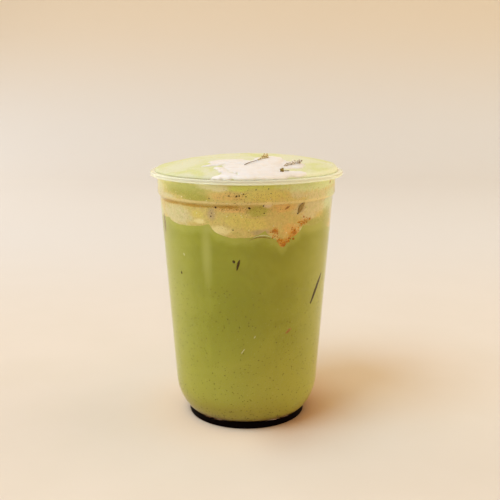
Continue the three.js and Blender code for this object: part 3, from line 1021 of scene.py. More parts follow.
def backdrop_material():
    """Warm pale paper with painted light and shade: a painted cool light far back, painted shade higher up,
    a painted warm glow on the cup's lit side, painted shadow on its shaded side and a painted contact
    shadow under it.
    """
    material, tree, shader, where = new_material("pale_backdrop")
    fibre = noise_of(tree, where, 0.02, 3.0)
    colour = mixed(tree, ramp(tree, fibre, 0.3, 0.7), *PAPER_TINTS)
    across, back, up = place(tree, "ShaderNodeSeparateXYZ", {0: where}).outputs
    # painted cool light far back and painted shade higher up the wall
    colour = mixed(tree, ramp(tree, back, *PAPER_COOL_LIGHT_BACK), colour, PAPER_FAR_COOL_LIGHT)
    colour = mixed(tree, ramp(tree, up, *PAPER_SHADE_UP), colour, PAPER_HIGH_SHADE)
    # painted light and shade by the cup: a warm glow on its lit side, shadow on its shaded side and a dark
    # contact shadow under it
    open_sky = place(tree, "ShaderNodeAmbientOcclusion", {"Distance": NEAR_CUP * MM}, samples=12)
    near = ramp(tree, open_sky.outputs["AO"], 1.0, 0.45)
    painted_side_tint = mixed(tree, ramp(tree, across, *SHADE_ACROSS), PAPER_LIT_SIDE_GLOW, PAPER_SHADOW_SIDE)
    colour = mixed(tree, near, colour, painted_side_tint)
    contact_shadow = ramp(tree, open_sky.outputs["AO"], 0.4, 0.12)
    colour = mixed(tree, contact_shadow, colour, PAPER_CONTACT_SHADOW)
    tree.links.new(colour, shader.inputs["Base Color"])
    shader.inputs["Roughness"].default_value = 0.9
    shader.inputs["Specular IOR Level"].default_value = 0.1
    return material


# The cup


def fillet(before, corner, after, radius, steps=6):
    """Points of a round that takes a corner's place."""
    one = (before - corner).normalized()
    two = (after - corner).normalized()
    half = one.angle(two) / 2
    centre = corner + (one + two).normalized() * radius / math.sin(half)
    start = corner + one * radius / math.tan(half) - centre
    stop = corner + two * radius / math.tan(half) - centre
    first = math.atan2(start.y, start.x)
    sweep = (math.atan2(stop.y, stop.x) - first + math.pi) % TURN - math.pi
    return [
        centre + Vector((math.cos(first + sweep * t), math.sin(first + sweep * t))) * radius
        for t in spaced(0, 1, steps)
    ]


def rounded_path(corners):
    """A path through (radius, height, round) corners, each round in its corner's place."""
    path = []
    for i, (r, z, radius) in enumerate(corners):
        here = Vector((r, z))
        if radius == 0:
            path.append(here)
            continue
        before = Vector(corners[i - 1][:2])
        after = Vector(corners[(i + 1) % len(corners)][:2])
        path += fillet(before, here, after, radius)
    return path


def shell_outline():
    """The wall and floor in section, from the axis under the floor round to the axis on top of it."""
    inner = BAND_RADIUS - WALL
    foot_turn = math.atan2(FOOT_HEIGHT - CORNER.y, FOOT_RADIUS + FOOT_LEDGE - CORNER.x)
    floor_turn = -math.asin((CORNER.y - FLOOR_TOP) / CORNER_INNER)
    outer_arc = [
        CORNER + Vector((math.cos(a), math.sin(a))) * CORNER_RADIUS
        for a in spaced(foot_turn, -DRAFT_ANGLE, 24)
    ]
    inner_arc = [
        CORNER + Vector((math.cos(a), math.sin(a))) * CORNER_INNER
        for a in spaced(-DRAFT_ANGLE, floor_turn, 24)
    ]
    corners = [(0, FLOOR_UNDER, 0), (FOOT_RADIUS - 0.2, FLOOR_UNDER, 0.2)]
    corners += [(p.x, p.y, 0) for p in outer_arc]
    corners += [(STEP_RADIUS, STEP_FOOT, STEP_ROUND), (BAND_RADIUS, BAND_FOOT, STEP_ROUND)]
    corners += [(BAND_RADIUS, SHELL_TOP, 0.3), (inner, SHELL_TOP, 0.3)]
    corners += [(inner, BAND_FOOT, STEP_ROUND), (inside_radius(STEP_FOOT), STEP_FOOT, STEP_ROUND)]
    corners += [(p.x, p.y, 0) for p in inner_arc]
    corners += [(0, FLOOR_TOP, 0)]
    return with_rings(rounded_path(corners))


def lip_outline():
    """The flange and its turned-down lip in section, with a shallow groove round the lip."""
    inner = BAND_RADIUS - WALL
    lip_inner = RIM_RADIUS - LIP_WALL
    lip_foot = CUP_HEIGHT - LIP_DROP
    flange_under = CUP_HEIGHT - FLANGE
    groove = lip_foot + LIP_DROP / 3
    corners = [(inner, flange_under, 0.3), (lip_inner, flange_under, 0.25), (lip_inner, lip_foot, 0.3)]
    corners += [(RIM_RADIUS, lip_foot, 0.4), (RIM_RADIUS, groove - LIP_GROOVE, 0.15)]
    corners += [(RIM_RADIUS - LIP_GROOVE, groove, 0.1), (RIM_RADIUS, groove + LIP_GROOVE, 0.15)]
    corners += [(RIM_RADIUS, CUP_HEIGHT, 0.6), (inner, CUP_HEIGHT, 0.6)]
    path = rounded_path(corners)
    return with_rings(path + path[:1])


def foot_outline():
    """The foot ring in section."""
    inner = FOOT_RADIUS - FOOT_WALL
    top = FLOOR_UNDER + FOOT_SUNK
    corners = [(inner, 0, 0.35), (FOOT_RADIUS, 0, 0.45), (FOOT_RADIUS, top, 0.2), (inner, top, 0.2)]
    path = rounded_path(corners)
    return with_rings(path + path[:1])


def with_rings(path):
    """Adds points to long straight stretches, close to their ends and evenly between."""
    full = [path[0]]
    for a, b in zip(path, path[1:]):
        length = (b - a).length
        if length > STRAIGHT_RUN:
            near = RING_NEAR / length
            steps = math.ceil(length / STRAIGHT_RUN)
            full += [a.lerp(b, near + (1 - 2 * near) * t) for t in spaced(0, 1, steps)]
        full.append(b)
    return full


def make_cup():
    """The cup's shell, lip and foot ring, each turned from its own outline."""
    tree = turned_wall_tree()
    pieces = []
    for name, outline, material in (
        ("cup_shell", shell_outline(), clear_plastic_material()),
        ("cup_lip", lip_outline(), lip_plastic_material()),
        ("cup_foot", foot_outline(), foot_shadow_material()),
    ):
        piece = mesh_piece(name, [Vector((p.x, 0, p.y)) for p in outline], [], material)
        apply_tree(piece, tree, {"Sides": CUP_SIDES, "Material": material})
        face_outwards(piece)
        pieces.append(piece)
    return pieces


# The drink and the foam

# Patches of colour in the foam at the wall: middle and half size as degrees from the front and height.
# The front ones follow what shows there, and the back ones carry the marbling on round the cup.
FOAM_PATCHES = {
    "beige": [
        (-52, 101, 15, 4.4),
        (-71, 110.7, 8, 3.9),
        (-60, 108.5, 10, 1.5),
        (49, 104.6, 18, 3),
        (50, 109.8, 13, 3),
        (33, 111.8, 5, 3),
        (44, 100.9, 7, 2.3),
    ],
    "green": [(-42, 112.7, 17, 2.8), (-31, 110, 10, 2.2)],
    # painted light: the foam just under the lip is lightened where the lip shades it
    "under_lip_light": [(-3, 114.6, 8, 1.6), (12, 115, 14, 1.4)],
    "lime": [(48, 114.2, 26, 2.2), (68, 106, 9, 6), (37.5, 93.5, 1.6, 2.4)],
    "gold": [(10.4, 111.3, 13, 2.6), (-32, 102.3, 4, 1.6), (-5.6, 100.7, 8, 2.8), (3.7, 98.9, 9, 3)],
    "brown": [(-12.9, 111, 10, 1.9), (-8.3, 105.2, 10, 1.5), (23.7, 105.6, 8, 2), (29.5, 95.8, 5.7, 2.5)],
    "olive": [(7.4, 104.6, 6.5, 2.5)],
    "pink": [
        (-21, 115, 9, 1.5),
        (-16.4, 114.4, 5.5, 1.7),
        (13.3, 107.1, 2.8, 1.2),
    ],
    "grey": [(-21.9, 102.8, 2.7, 2.6), (37.2, 105.3, 2.5, 2.3), (9.1, 95.1, 5.8, 1.3)],
    # the three near 106 mm are painted shadow under the step
    "seam_and_step_shadow": [(-57, 106.2, 12, 0.8), (-34, 106, 13.5, 0.7), (-11.7, 106.2, 8, 0.7), (22.5, 89.8, 7, 1.5)],
    # the two long ones along the step at 107.8 mm are a painted highlight; the others are peach patches
    "peach_and_step_highlight": [(-35, 107.8, 50, 0.55), (30, 107.8, 50, 0.55), (-17.3, 95.8, 7, 2), (-30.8, 99.3, 4, 1.1)],
    "syrup": [(18.6, 95.7, 1.8, 1.4), (32, 93, 4.4, 2.3), (24, 90, 6.2, 1.9), (41, 98.6, 5, 1.2)],
    "rust": [
        (18.6, 95.7, 1.3, 1.0),
        (16.8, 95.1, 0.8, 0.7),
        (20.6, 94.2, 0.7, 0.7),
        (30.4, 96, 0.8, 0.7),
        (32.3, 94.3, 1.5, 1.1),
        (31.8, 91.4, 1.9, 1.0),
        (28.5, 90.4, 1.4, 0.8),
        (25.3, 89.1, 2.0, 0.9),
        (20, 90.4, 1.2, 0.9),
        (38, 97.8, 1.3, 0.6),
        (41.5, 98.6, 1.5, 0.5),
        (44.6, 99.4, 1.3, 0.6),
    ],
    "drink": [(54, 97.3, 14, 2), (66, 98, 8, 5)],
}
# Pale streaks in the drink: middle and half size as degrees from the front and height. The tall narrow one
# at -26.6 degrees is a painted reflection, and the two wide ones at the sides are painted side light.
MILK_AND_HIGHLIGHT_STREAKS = [
    (-26.6, 85, 3.2, 14),
    (-24.5, 96.5, 4, 2.5),
    (57, 96.5, 20, 4),
    (9, 93.8, 6, 0.9),
    (85, 65, 36, 38),
    (-80, 65, 36, 38),
]
BACK_KINDS = ("beige", "green", "olive", "lime")


def back_patches(kind):
    """The patches of one kind round the back, spread by slow waves."""
    shift = BACK_KINDS.index(kind)
    return [
        (
            80 + 25 * i + 7 * shift,
            102 + 4 * math.sin(1.9 * i + 1.6 * shift),
            11 + 4 * math.sin(2.7 * i + shift),
            4 + 1.5 * math.cos(1.3 * i + shift),
        )
        for i in range(8)
    ]


def patch_amount(patches, point):
    """1 in the middle of a patch, 0.5 on its edge and 0 well outside."""
    degrees = math.degrees(math.atan2(point.x, -point.y))
    amount = 0
    for middle, height, half, half_height in patches:
        away = math.hypot(degrees_between(degrees, middle) / half, (point.z - height) / half_height)
        amount = max(amount, 1 - away / 2)
    return amount


def make_latte():
    """The drink from the cup's floor to the foam, a little into both."""
    bottom = FLOOR_TOP - BITE

    def profile(angle):
        top = boundary(angle) + LATTE_UP
        corner = [bottom + (CORNER_TOP - bottom) * t**1.6 for t in spaced(0, 1, 14)]
        wall = [*spaced(CORNER_TOP, top - EDGE_ROW, 42)[1:], top]
        side = [(inside_radius(max(z, FLOOR_TOP)) + BITE, z) for z in corner + wall]
        lid = [(side[-1][0] * s, boundary(angle, s) + LATTE_UP) for s in (0.9, 0.75, 0.4)]
        return [(0, bottom), (side[0][0] * 0.6, bottom), *side, *lid, (0, FOAM_LEVEL + LATTE_UP)]

    points, faces = turned_points(profile, LATTE_SIDES)
    attributes = {
        "below_foam": [boundary(math.atan2(p.x, -p.y)) - p.z for p in points],
        "milk": [patch_amount(MILK_AND_HIGHLIGHT_STREAKS, p) for p in points],
    }
    latte = mesh_piece("latte_drink", points, faces, latte_material(), attributes)
    face_outwards(latte)
    return latte


def make_foam():
    """The foam from the scalloped line to its dome, with each kind of patch as an attribute."""
    inner = BAND_RADIUS - WALL
    reach = BITE + 0.03  # a hair more than the drink's, so that the two share no face

    def profile(angle):
        under = [(s * inside_radius(FOAM_LEVEL), boundary(angle, s)) for s in (0.4, 0.75, 0.92)]
        low = boundary(angle)
        wall = [low, *spaced(low + EDGE_ROW, CUP_HEIGHT - 1.2, 34)]
        side = [(inside_radius(z) + reach, z) for z in wall]
        # Round the inner edge of the flange
        rim = [(inner + 0.1, CUP_HEIGHT - 0.5), (inner + 0.45, CUP_HEIGHT - 0.05)]
        rim += [(inner + 1.0, CUP_HEIGHT + 0.03)]
        top = []
        for p in reversed(foam_outline(angle)):
            at = around(p.x, angle, 0)
            lump = FOAM_LUMPS * noise.noise(at * 0.13) + FOAM_LUMPS / 2 * noise.noise(at * 0.4)
            top.append((p.x, p.y + lump * min(1, (FOAM_RADIUS - p.x) / SHOULDER)))
        return [(0, FOAM_LEVEL), *under, *side, *rim, *top]

    points, faces = turned_points(profile, FOAM_SIDES)
    attributes = {}
    for kind, patches in FOAM_PATCHES.items():
        every = patches + (back_patches(kind) if kind in BACK_KINDS else [])
        attributes[kind] = [patch_amount(every, p) for p in points]
    foam = mesh_piece("foam_cap", points, faces, foam_material(), attributes)
    face_outwards(foam)
    return foam


# The cream: dollops along the foam's surface with middle, half length, half width, thickness and the way
# the length points in degrees, then hollows where the foam shows through
CREAM_DOLLOPS = [
    (2.5, -31, 13.5, 12, 0.9, 0),
    (-8, -19.8, 9.2, 5, 0.8, -4),
    (-14.6, -24.4, 5.2, 1.3, 0.6, 6),
    (-10.2, -35, 7.4, 1.7, 0.8, -66),
    (-7.5, -41.6, 8.6, 1.9, 0.7, -6),
    (3, -40, 14, 3.8, 0.8, 0),
    (10.5, -19, 9.5, 7, 1.7, 75),
    (20, -23.5, 7.6, 5.2, 0.8, 58),
    (16.5, -37.2, 10.5, 2.5, 0.7, 22),
]
CREAM_HOLLOWS = [(-4.4, -38.8, 2.8, 0.45, 0.5, -49)]
CREAM_FOLDS = [(-4, -27, 12, 0.35), (6, -31, 24, 0.3), (-7, -37.5, -8, 0.25), (-8.4, -34, -66, 0.35)]
CREAM_CELL = 0.4
CREAM_LEFT = -26
CREAM_FRONT = -46
CREAM_ACROSS = 56
CREAM_BACK = 48  # how far back the cream's grid reaches from its front
CREAM_SUNK = 0.3  # the cream's underside lies this far inside the foam
CREAM_BLEND = 0.22  # how softly the dollops run into each other
FOLD_LENGTH = 6
FOLD_WIDTH = 0.7
CREAM_TEAR = 1.1  # how far the cream's edge wanders


def dollop_height(u, v, dollop):
    """Height of one dollop, falling below 0 outside it."""
    middle_u, middle_v, long, wide, thick, degrees = dollop
    turn = math.radians(degrees)
    along = ((u - middle_u) * math.cos(turn) + (v - middle_v) * math.sin(turn)) / long
    across = ((v - middle_v) * math.cos(turn) - (u - middle_u) * math.sin(turn)) / wide
    away = math.hypot(along, across)
    if away < 1:
        return thick * math.sqrt(1 - away**2)
    return -1.5 * thick * (away - 1)


@lru_cache(maxsize=None)
def cream_height(u, v):
    """Thickness of the cream over the foam; below 0 there is none."""
    here = Vector((u, v, 0))
    u += CREAM_TEAR * (noise.noise(here * 0.28) + 0.6 * noise.noise(here * 0.7))
    v += CREAM_TEAR * (noise.noise(here * 0.28 + Vector((7, 3, 5))) + 0.6 * noise.noise(here * 0.7))
    heights = [dollop_height(u, v, d) for d in CREAM_DOLLOPS]
    top = max(heights)
    blended = sum(math.exp((h - top) / CREAM_BLEND) for h in heights)
    height = top + CREAM_BLEND * math.log(blended) * 0.6
    for middle_u, middle_v, degrees, depth in CREAM_FOLDS:
        turn = math.radians(degrees)
        along = (u - middle_u) * math.cos(turn) + (v - middle_v) * math.sin(turn)
        across = (v - middle_v) * math.cos(turn) - (u - middle_u) * math.sin(turn) - 0.02 * along**2
        height -= depth * math.exp(-((along / FOLD_LENGTH) ** 2) - (across / FOLD_WIDTH) ** 2)
    for hollow in CREAM_HOLLOWS:
        sunk = dollop_height(u, v, hollow)
        height = min(height, 0.25 - sunk * 1.4) if sunk > -0.6 else height
    return height + 0.06 * noise.noise(here * 0.35)


def make_cream():
    """The cream on a fine grid along the foam: its top, its underside just below and the edge between."""
    columns = round(CREAM_ACROSS / CREAM_CELL)
    rows = round(CREAM_BACK / CREAM_CELL)
    heights = {}
    for i in range(columns + 1):
        for j in range(rows + 1):
            u = CREAM_LEFT + i * CREAM_CELL
            v = CREAM_FRONT + j * CREAM_CELL
            heights[i, j] = (u, v, cream_height(u, v))
    cells = [
        ((i, j), (i + 1, j), (i + 1, j + 1), (i, j + 1))
        for i in range(columns)
        for j in range(rows)
    ]
    cells = [c for c in cells if max(heights[k][2] for k in c) > -0.1]
    used = sorted({k for c in cells for k in c})
    number = {k: n for n, k in enumerate(used)}
    top = [over_foam(heights[k][0], heights[k][1], max(heights[k][2], -CREAM_SUNK + 0.05)) for k in used]
    under = [over_foam(heights[k][0], heights[k][1], -CREAM_SUNK) for k in used]
    for point in top:
        point.z = max(point.z, CUP_HEIGHT + 0.05)
    for point in under:
        point.z = max(point.z, CUP_HEIGHT + 0.02)
    count = len(used)
    faces = [tuple(number[k] for k in c) for c in cells]
    edges = {}  # keeps the order in which the edges come
    for face in faces:
        for a, b in zip(face, face[1:] + face[:1]):
            edges[a, b] = True
    sides = [(b, a, a + count, b + count) for a, b in edges if (b, a) not in edges]
    bottom = [tuple(n + count for n in reversed(face)) for face in faces]
    thickness = [heights[k][2] for k in used] * 2
    return mesh_piece(
        "cream_pour", top + under, faces + sides + bottom, cream_material(), {"thickness": thickness}
    )


# The dried sprigs: where each stem runs along the cream, how far its tip lifts, and its florets
SPRIGS = {
    "sprig_long": {
        "lines": [((-0.6, -30.4), (8.9, -19.4), 0.4)],
        "tints": (tint(156, 138, 86), tint(244, 232, 184)),
        "values": {
            "Stem Radius": 0.18 * MM,
            "Head Start": 0.6,
            "Florets": 34,
            "Floret Length": 1.4 * MM,
            "Floret Width": 0.46 * MM,
            "Lean": 0.55,
            "Fan": 1.1,
            "Seed": 3,
        },
    },
    "sprig_pair": {
        "lines": [((16.4, -28.6), (20.6, -25.4), 0.15), ((19.4, -25.4), (23.6, -21.4), 0.35)],
        "tints": (tint(146, 128, 96), tint(250, 246, 236)),
        "values": {
            "Stem Radius": 0.14 * MM,
            "Head Start": 0.05,
            "Florets": 24,
            "Floret Length": 1.2 * MM,
            "Floret Width": 0.6 * MM,
            "Lean": 0.85,
            "Fan": 0.2,
            "Seed": 5,
        },
    },
    "sprig_bud": {
        "lines": [((18.4, -35.4), (14.9, -36.2), 0.1)],
        "tints": (tint(96, 82, 38), tint(172, 150, 84)),
        "values": {
            "Stem Radius": 0.14 * MM,
            "Head Start": 0.7,
            "Florets": 26,
            "Floret Length": 0.95 * MM,
            "Floret Width": 0.55 * MM,
            "Lean": 1.1,
            "Fan": 0.0,
            "Seed": 8,
        },
    },
}
STEM_BOW = 0.5
STEM_REST = 0.3  # height of a stem's middle over the cream


def sprig_line(start, stop, lift):
    """Points along a stem that lies on the cream and bows a little sideways."""
    start = Vector(start)
    stop = Vector(stop)
    across = Vector((start.y - stop.y, stop.x - start.x)).normalized()
    points = []
    for t in spaced(0, 1, 12):
        flat = start.lerp(stop, t) + across * STEM_BOW * math.sin(math.pi * t)
        rest = max(0, cream_height(flat.x, flat.y)) + STEM_REST + lift * t
        points.append(over_foam(flat.x, flat.y, rest))
    return points


def make_sprigs():
    """The dried sprigs, each grown along its own lines."""
    tree = sprig_tree()
    stem = dry_material("dry_stem", *STEM_TINTS)
    pieces = {}
    for node, sprig in SPRIGS.items():
        floret = dry_material(node + "_floret", *sprig["tints"], 1.3)
        points = []
        edges = []
        for line in sprig["lines"]:
            first = len(points)
            points += sprig_line(*line)
            edges += [(n, n + 1) for n in range(first, len(points) - 1)]
        piece = mesh_piece(node + "_dried", points, [], stem, edges=edges)
        values = {**sprig["values"], "Stem Material": stem, "Floret Material": floret}
        apply_tree(piece, tree, values)
        pieces[node] = piece
    return pieces


# Bits in the foam and the drink

# Specks and crumbs that show one by one: degrees from the front, height and radius
NAMED_SPECKS = [
    (-18.9, 105.9, 0.76), (2.0, 105.9, 0.72), (10.6, 106.9, 0.46), (11.2, 103.5, 0.4), (-22.5, 109.7, 0.42),
    (-10.1, 111.1, 0.38), (-5.6, 111.0, 0.46), (-4.0, 111.2, 0.4), (-1.5, 111.9, 0.36), (0, 110.9, 0.36),
    (5.9, 113.8, 0.36), (13.6, 114.1, 0.34), (14.9, 112.1, 0.34), (-8.1, 96.2, 0.4), (34.2, 102.5, 0.56),
    (-22.3, 101.9, 0.38), (-21.8, 103.3, 0.32), (37, 106.8, 0.5),
]
LARGE_CRUMBS = [
    (18.6, 95.7, 0.6), (32.3, 94.5, 0.55), (31.8, 91.4, 0.7), (28.5, 90.3, 0.6), (25.3, 88.9, 0.7),
    (38.1, 97.8, 0.5), (41.5, 98.5, 0.4), (44.7, 99.4, 0.5), (31.5, 48.6, 0.45), (30, 77, 0.3),
]
# Slivers against the wall: both ends as degrees from the front and height, half width and upward bow
LEAF_SLIVERS = [
    ((-4.1, 83), (-6.1, 78.2), 0.55, 0.4),
    ((-8.6, 82.7), (-7.3, 81.5), 0.6, 0),
    ((66, 71.9), (52.5, 59), 1.0, 0.6),
    ((-50.5, 74.7), (-49.9, 73.4), 0.5, 0),
    ((118, 66), (124, 58), 0.5, 0.5),
    ((-140, 78), (-137, 73), 0.45, 0.4),
    ((170, 50), (164, 44), 0.45, 0.4),
]
PALE_SLIVERS = [
    ((6.7, 47.8), (5.5, 46.6), 0.16, 0),
    ((-1.0, 41.7), (-3.7, 39.3), 0.17, 0),
    ((-46.4, 83.6), (-45.4, 82.4), 0.25, 0),
    ((40.7, 114.9), (42.7, 113.4), 0.25, 0),
    ((4.5, 92.9), (19.1, 91.7), 0.2, 1.5),
]
GREY_ARCS = [
    ((2.2, 91.7), (15.9, 92), 0.26, 1.3),
    ((-70.5, 99.6), (-70.8, 90.5), 1.5, 0),
    ((38.5, 107.2), (34.4, 102.8), 1.3, 0.2),
]
BROWN_SMEARS = [
    ((24.6, 104.7), (28.4, 106.5), 0.5, 0),
    ((65.8, 115.2), (65.8, 113.4), 0.6, 0),
    ((34.0, 49.7), (29.5, 47.6), 0.65, 0),
]
SLIVER_RINGS = 14
SLIVER_SIDES = 6
BITS_IN_DRINK = ("tea_specks", "milk_specks")
# The line along which the smaller crumbs lie, as degrees from the front and height
CRUMB_TRAIL = [(14, 96.4), (19, 92.4), (24, 89.2), (28.5, 91.4), (32.5, 95.2), (37, 97.4), (42, 99)]


def bits_piece(name, tree, spots, material, values):
    """Lumps at (point, size) spots, in millimetres, as one piece."""
    sizes = {"size": [size * MM for _, size in spots]}
    piece = mesh_piece(name, [p for p, _ in spots], [], material, sizes)
    apply_tree(piece, tree, {**values, "Material": material})
    return piece


def speck_spots(chance):
    """The dark specks that show one by one, then fine ones, mostly at the front."""
    spots = [(on_wall(degrees, z, -0.3 * size), size) for degrees, z, size in NAMED_SPECKS]
    while len(spots) < SPECK_COUNT:
        degrees = chance.gauss(2, 15) if chance.random() < 0.6 else chance.uniform(-180, 180)
        z = chance.gauss(108.5, 3.6)
        if boundary(math.radians(degrees)) + 1 < z < FOAM_AT_LIP:
            spots.append((on_wall(degrees, z), chance.uniform(*SPECK_SIZES)))
    return spots


def freckle_spots(chance):
    """Brown freckles, thickest in two bands at the front."""
    spots = []
    while len(spots) < FRECKLE_COUNT:
        degrees = chance.gauss(-2, 13) if chance.random() < 0.75 else chance.uniform(-180, 180)
        z = chance.choice((chance.gauss(111, 1.3), chance.gauss(105.6, 0.9), chance.gauss(103, 5)))
        if boundary(math.radians(degrees)) + 0.5 < z < 114.5:
            spots.append((on_wall(degrees, z), chance.uniform(*FRECKLE_SIZES)))
    return spots


def crumb_spots(chance):
    """The large orange crumbs, then smaller ones along the trail."""
    spots = [(on_wall(degrees, z, -0.4 * size), size) for degrees, z, size in LARGE_CRUMBS]
    while len(spots) < CRUMB_COUNT:
        leg = chance.randrange(len(CRUMB_TRAIL) - 1)
        share = chance.random()
        a = Vector(CRUMB_TRAIL[leg])
        b = Vector(CRUMB_TRAIL[leg + 1])
        spot = a.lerp(b, share) + Vector((chance.gauss(0, 1.0), chance.gauss(0.3, 0.9)))
        size = chance.uniform(0.2, 0.4) if chance.random() < 0.7 else chance.uniform(0.4, 0.75)
        spots.append((on_wall(spot.x, spot.y, -0.3 * size), size))
    return spots


def tea_spots(chance, count, sizes):
    """Fine specks in the drink at the wall, closer together towards the bottom."""
    spots = []
    while len(spots) < count:
        z = TEA_FOOT + TEA_RISE * chance.random() ** 1.6
        spots.append((on_wall(chance.uniform(-180, 180), z, -0.02), chance.uniform(*sizes)))
    return spots


def bubble_spots(chance):
    """Bubbles at the wall and on the dome, where no cream covers it."""
    spots = [(on_wall(39, 110, -0.2), 0.55)]
    while len(spots) < BUBBLE_COUNT:
        if chance.random() < 0.45:
            degrees = chance.uniform(-180, 180)
            z = chance.uniform(boundary(math.radians(degrees)) + 0.5, FOAM_AT_LIP)
            spots.append((on_wall(degrees, z, -0.05), chance.uniform(0.1, 0.3)))
            continue
        reach = BUBBLE_REACH * math.sqrt(chance.random())
        angle = chance.uniform(0, TURN)
        spot = Vector((reach * math.sin(angle), -reach * math.cos(angle)))
        if cream_height(spot.x, spot.y) < -0.2:
            spots.append((over_foam(spot.x, spot.y, -0.04), chance.uniform(0.1, 0.26)))
    return spots


def make_slivers(name, slivers, material):
    """Thin slivers that lie against the wall, pointed at both ends and bowed upwards."""
    points = []
    faces = []
    for (start, start_z), (stop, stop_z), width, bow in slivers:
        first = len(points)
        last = first + SLIVER_RINGS * SLIVER_SIDES
        for t in spaced(0, 1, SLIVER_RINGS):
            degrees = start + (stop - start) * t
            z = start_z + (stop_z - start_z) * t + bow * math.sin(math.pi * t)
            half = width * math.sin(math.pi * (0.06 + 0.88 * t)) ** 0.7
            middle = on_wall(degrees, z)
            out = Vector((middle.x, middle.y, 0)).normalized()
            side = (on_wall(stop, stop_z) - on_wall(start, start_z)).cross(out).normalized()
            for k in range(SLIVER_SIDES):
                turn = TURN * k / SLIVER_SIDES
                points.append(middle + side * half * math.cos(turn) + out * half * 0.4 * math.sin(turn))
        for ring in range(first, last, SLIVER_SIDES):
            for k in range(SLIVER_SIDES):
                a = ring + k
                b = ring + (k + 1) % SLIVER_SIDES
                faces.append((a, b, b + SLIVER_SIDES, a + SLIVER_SIDES))
        faces.append(tuple(reversed(range(first, first + SLIVER_SIDES))))
        faces.append(tuple(range(last, last + SLIVER_SIDES)))
    piece = mesh_piece(name, points, faces, material)
    face_outwards(piece)
    return piece


def make_bits():
    """The loose bits in the foam and the drink, one piece of each kind."""
    chance = random.Random(CHANCE_SEED)
    tree = bits_tree()
    dark = dry_material("dark_speck", *SPECK_TINTS, 3.0)
    brown = dry_material("brown_freckle", *FRECKLE_TINTS, 2.0)
    orange = dry_material("syrup_crumb", *CRUMB_TINTS, 0.9)
    pale = dry_material("pale_bubble", *BUBBLE_TINTS, 0.6)
    tea = dry_material("tea_speck", *TEA_TINTS, 2.0)
    milk = dry_material("milk_speck", *MILK_TINTS, 2.0)
    specks = speck_spots(chance)
    freckles = freckle_spots(chance)
    crumbs = crumb_spots(chance)
    bubbles = bubble_spots(chance)
    tea_specks = tea_spots(chance, TEA_COUNT, TEA_SIZES)
    milk_specks = tea_spots(chance, MILK_COUNT, MILK_SIZES)
    kinds = {
        "foam_specks": (specks, dark, {"Detail": 2, "Uneven": 0.35, "Rough": 0.02 * MM, "Seed": 2}),
        "foam_freckles": (freckles, brown, {"Detail": 1, "Uneven": 0.3, "Seed": 3}),
        "syrup_crumbs": (crumbs, orange, {"Detail": 3, "Uneven": 0.5, "Rough": 0.5 * MM, "Seed": 4}),
        "foam_bubbles": (bubbles, pale, {"Detail": 2, "Uneven": 0.1, "Seed": 9}),
        "tea_specks": (tea_specks, tea, {"Detail": 1, "Uneven": 0.5, "Seed": 6}),
        "milk_specks": (milk_specks, milk, {"Detail": 1, "Uneven": 0.5, "Seed": 7}),
    }
    return {name: bits_piece(name, tree, *made) for name, made in kinds.items()}


def make_all_slivers():
    """The slivers, flecks, arcs and smears against the wall, one piece of each kind."""
    leaf = dry_material("leaf_sliver", *LEAF_TINTS, 1.4)
    pale_fleck = dry_material("pale_fleck", *PALE_TINTS, 1.4)
    grey_film = dry_material("grey_film", *GREY_TINTS, 1.0)
    smear = dry_material("brown_smear", *SMEAR_TINTS, 1.0)
    return [
        make_slivers("leaf_slivers", LEAF_SLIVERS, leaf),
        make_slivers("pale_slivers", PALE_SLIVERS, pale_fleck),
        make_slivers("grey_arcs", GREY_ARCS, grey_film),
        make_slivers("brown_smears", BROWN_SMEARS, smear),
    ]


# The pieces on their body

for name in ("Cube", "Light", "Camera"):  # what a fresh file starts with
    old = bpy.data.objects.get(name)
    if old is not None:
        bpy.data.objects.remove(old)

cup_pieces = make_cup()
latte = make_latte()
foam = make_foam()
cream = make_cream()
sprigs = make_sprigs()
bits = make_bits()
slivers = make_all_slivers()

slots = {
    "clear_plastic": cup_pieces,
    "green_drink": [latte, *slivers, *(bits[name] for name in BITS_IN_DRINK)],
    "pale_foam": [foam, *(piece for name, piece in bits.items() if name not in BITS_IN_DRINK)],
    "white_cream": [cream],
    "dried_herb": list(sprigs.values()),
}
for slot, dressed in slots.items():
    for piece in dressed:
        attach(piece, "root")
for piece in cup_pieces:
    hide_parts("cup")
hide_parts("latte")
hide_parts("foam")
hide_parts("cream")
for node, piece in sprigs.items():
    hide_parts(node)


# The studio


def make_backdrop():
    """A floor that curves up into a wall behind the cup."""
    path = [(BACKDROP_FRONT, 0), (BACKDROP_NEAR, 0), (BACKDROP_DEPTH, 0)]
    for turn in spaced(0, math.pi / 2, 16)[1:]:
        y = BACKDROP_DEPTH + BACKDROP_ROUND * math.sin(turn)
        path.append((y, BACKDROP_ROUND * (1 - math.cos(turn))))
    path.append((BACKDROP_DEPTH + BACKDROP_ROUND, BACKDROP_TOP))
    points = []
    for y, z in path:
        points += [Vector((-BACKDROP_HALF, y, z)), Vector((BACKDROP_HALF, y, z))]
    faces = [(2 * n, 2 * n + 1, 2 * n + 3, 2 * n + 2) for n in range(len(path) - 1)]
    return mesh_piece("studio_backdrop", points, faces, backdrop_material())


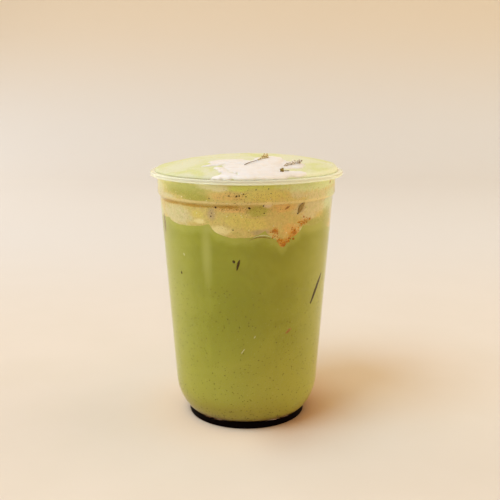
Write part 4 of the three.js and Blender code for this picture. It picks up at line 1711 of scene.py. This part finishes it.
def soft_box(name, place_mm, aim_mm, width, height, watts, colour):
    """A rectangular lamp that faces a point."""
    lamp = bpy.data.lights.new(name, "AREA")
    lamp.shape = "RECTANGLE"
    lamp.size = width * MM
    lamp.size_y = height * MM
    lamp.energy = watts
    lamp.color = colour
    box = bpy.data.objects.new(name, lamp)
    box.location = Vector(place_mm) * MM
    box.rotation_euler = (Vector(aim_mm) - Vector(place_mm)).to_track_quat("-Z", "Y").to_euler()
    bpy.context.scene.collection.objects.link(box)


def make_air():
    """The room's warm light, dimmer from the front, and a plain pale wall where it is looked at."""
    world = bpy.data.worlds.new("studio_air")
    bpy.context.scene.world = world
    world.use_nodes = True
    tree = world.node_tree
    air = tree.nodes["Background"]
    air.inputs["Color"].default_value = AIR_COLOUR
    facing = place(tree, "ShaderNodeTexCoord").outputs["Generated"]
    forward = place(tree, "ShaderNodeSeparateXYZ", {0: facing}).outputs["Y"]
    dim_front = place(
        tree,
        "ShaderNodeMapRange",
        {"Value": forward, "From Min": -1.0, "From Max": 0.2, "To Min": AIR_FRONT, "To Max": AIR_BACK},
    )
    tree.links.new(dim_front.outputs[0], air.inputs["Strength"])
    seen_air = place(tree, "ShaderNodeBackground", {"Color": WALL_SEEN})
    rays = tree.nodes.new("ShaderNodeLightPath")
    either = tree.nodes.new("ShaderNodeMixShader")
    tree.links.new(rays.outputs["Is Camera Ray"], either.inputs[0])
    tree.links.new(air.outputs[0], either.inputs[1])
    tree.links.new(seen_air.outputs[0], either.inputs[2])
    tree.links.new(either.outputs[0], tree.nodes["World Output"].inputs["Surface"])


def make_camera():
    """The camera in front of the cup, looking a little down."""
    lens = bpy.data.cameras.new("front_camera")
    lens.lens = CAMERA_LENS
    lens.sensor_width = CAMERA_SENSOR
    camera = bpy.data.objects.new("front_camera", lens)
    camera.location = Vector(CAMERA_AT) * MM
    camera.rotation_euler = (math.pi / 2 - CAMERA_DOWN, 0, 0)
    bpy.context.scene.collection.objects.link(camera)
    bpy.context.scene.camera = camera


backdrop = make_backdrop()
for name, lamp in LAMPS.items():
    soft_box(name, *lamp)

make_air()
bpy.context.scene.view_settings.view_transform = "Standard"
make_camera()
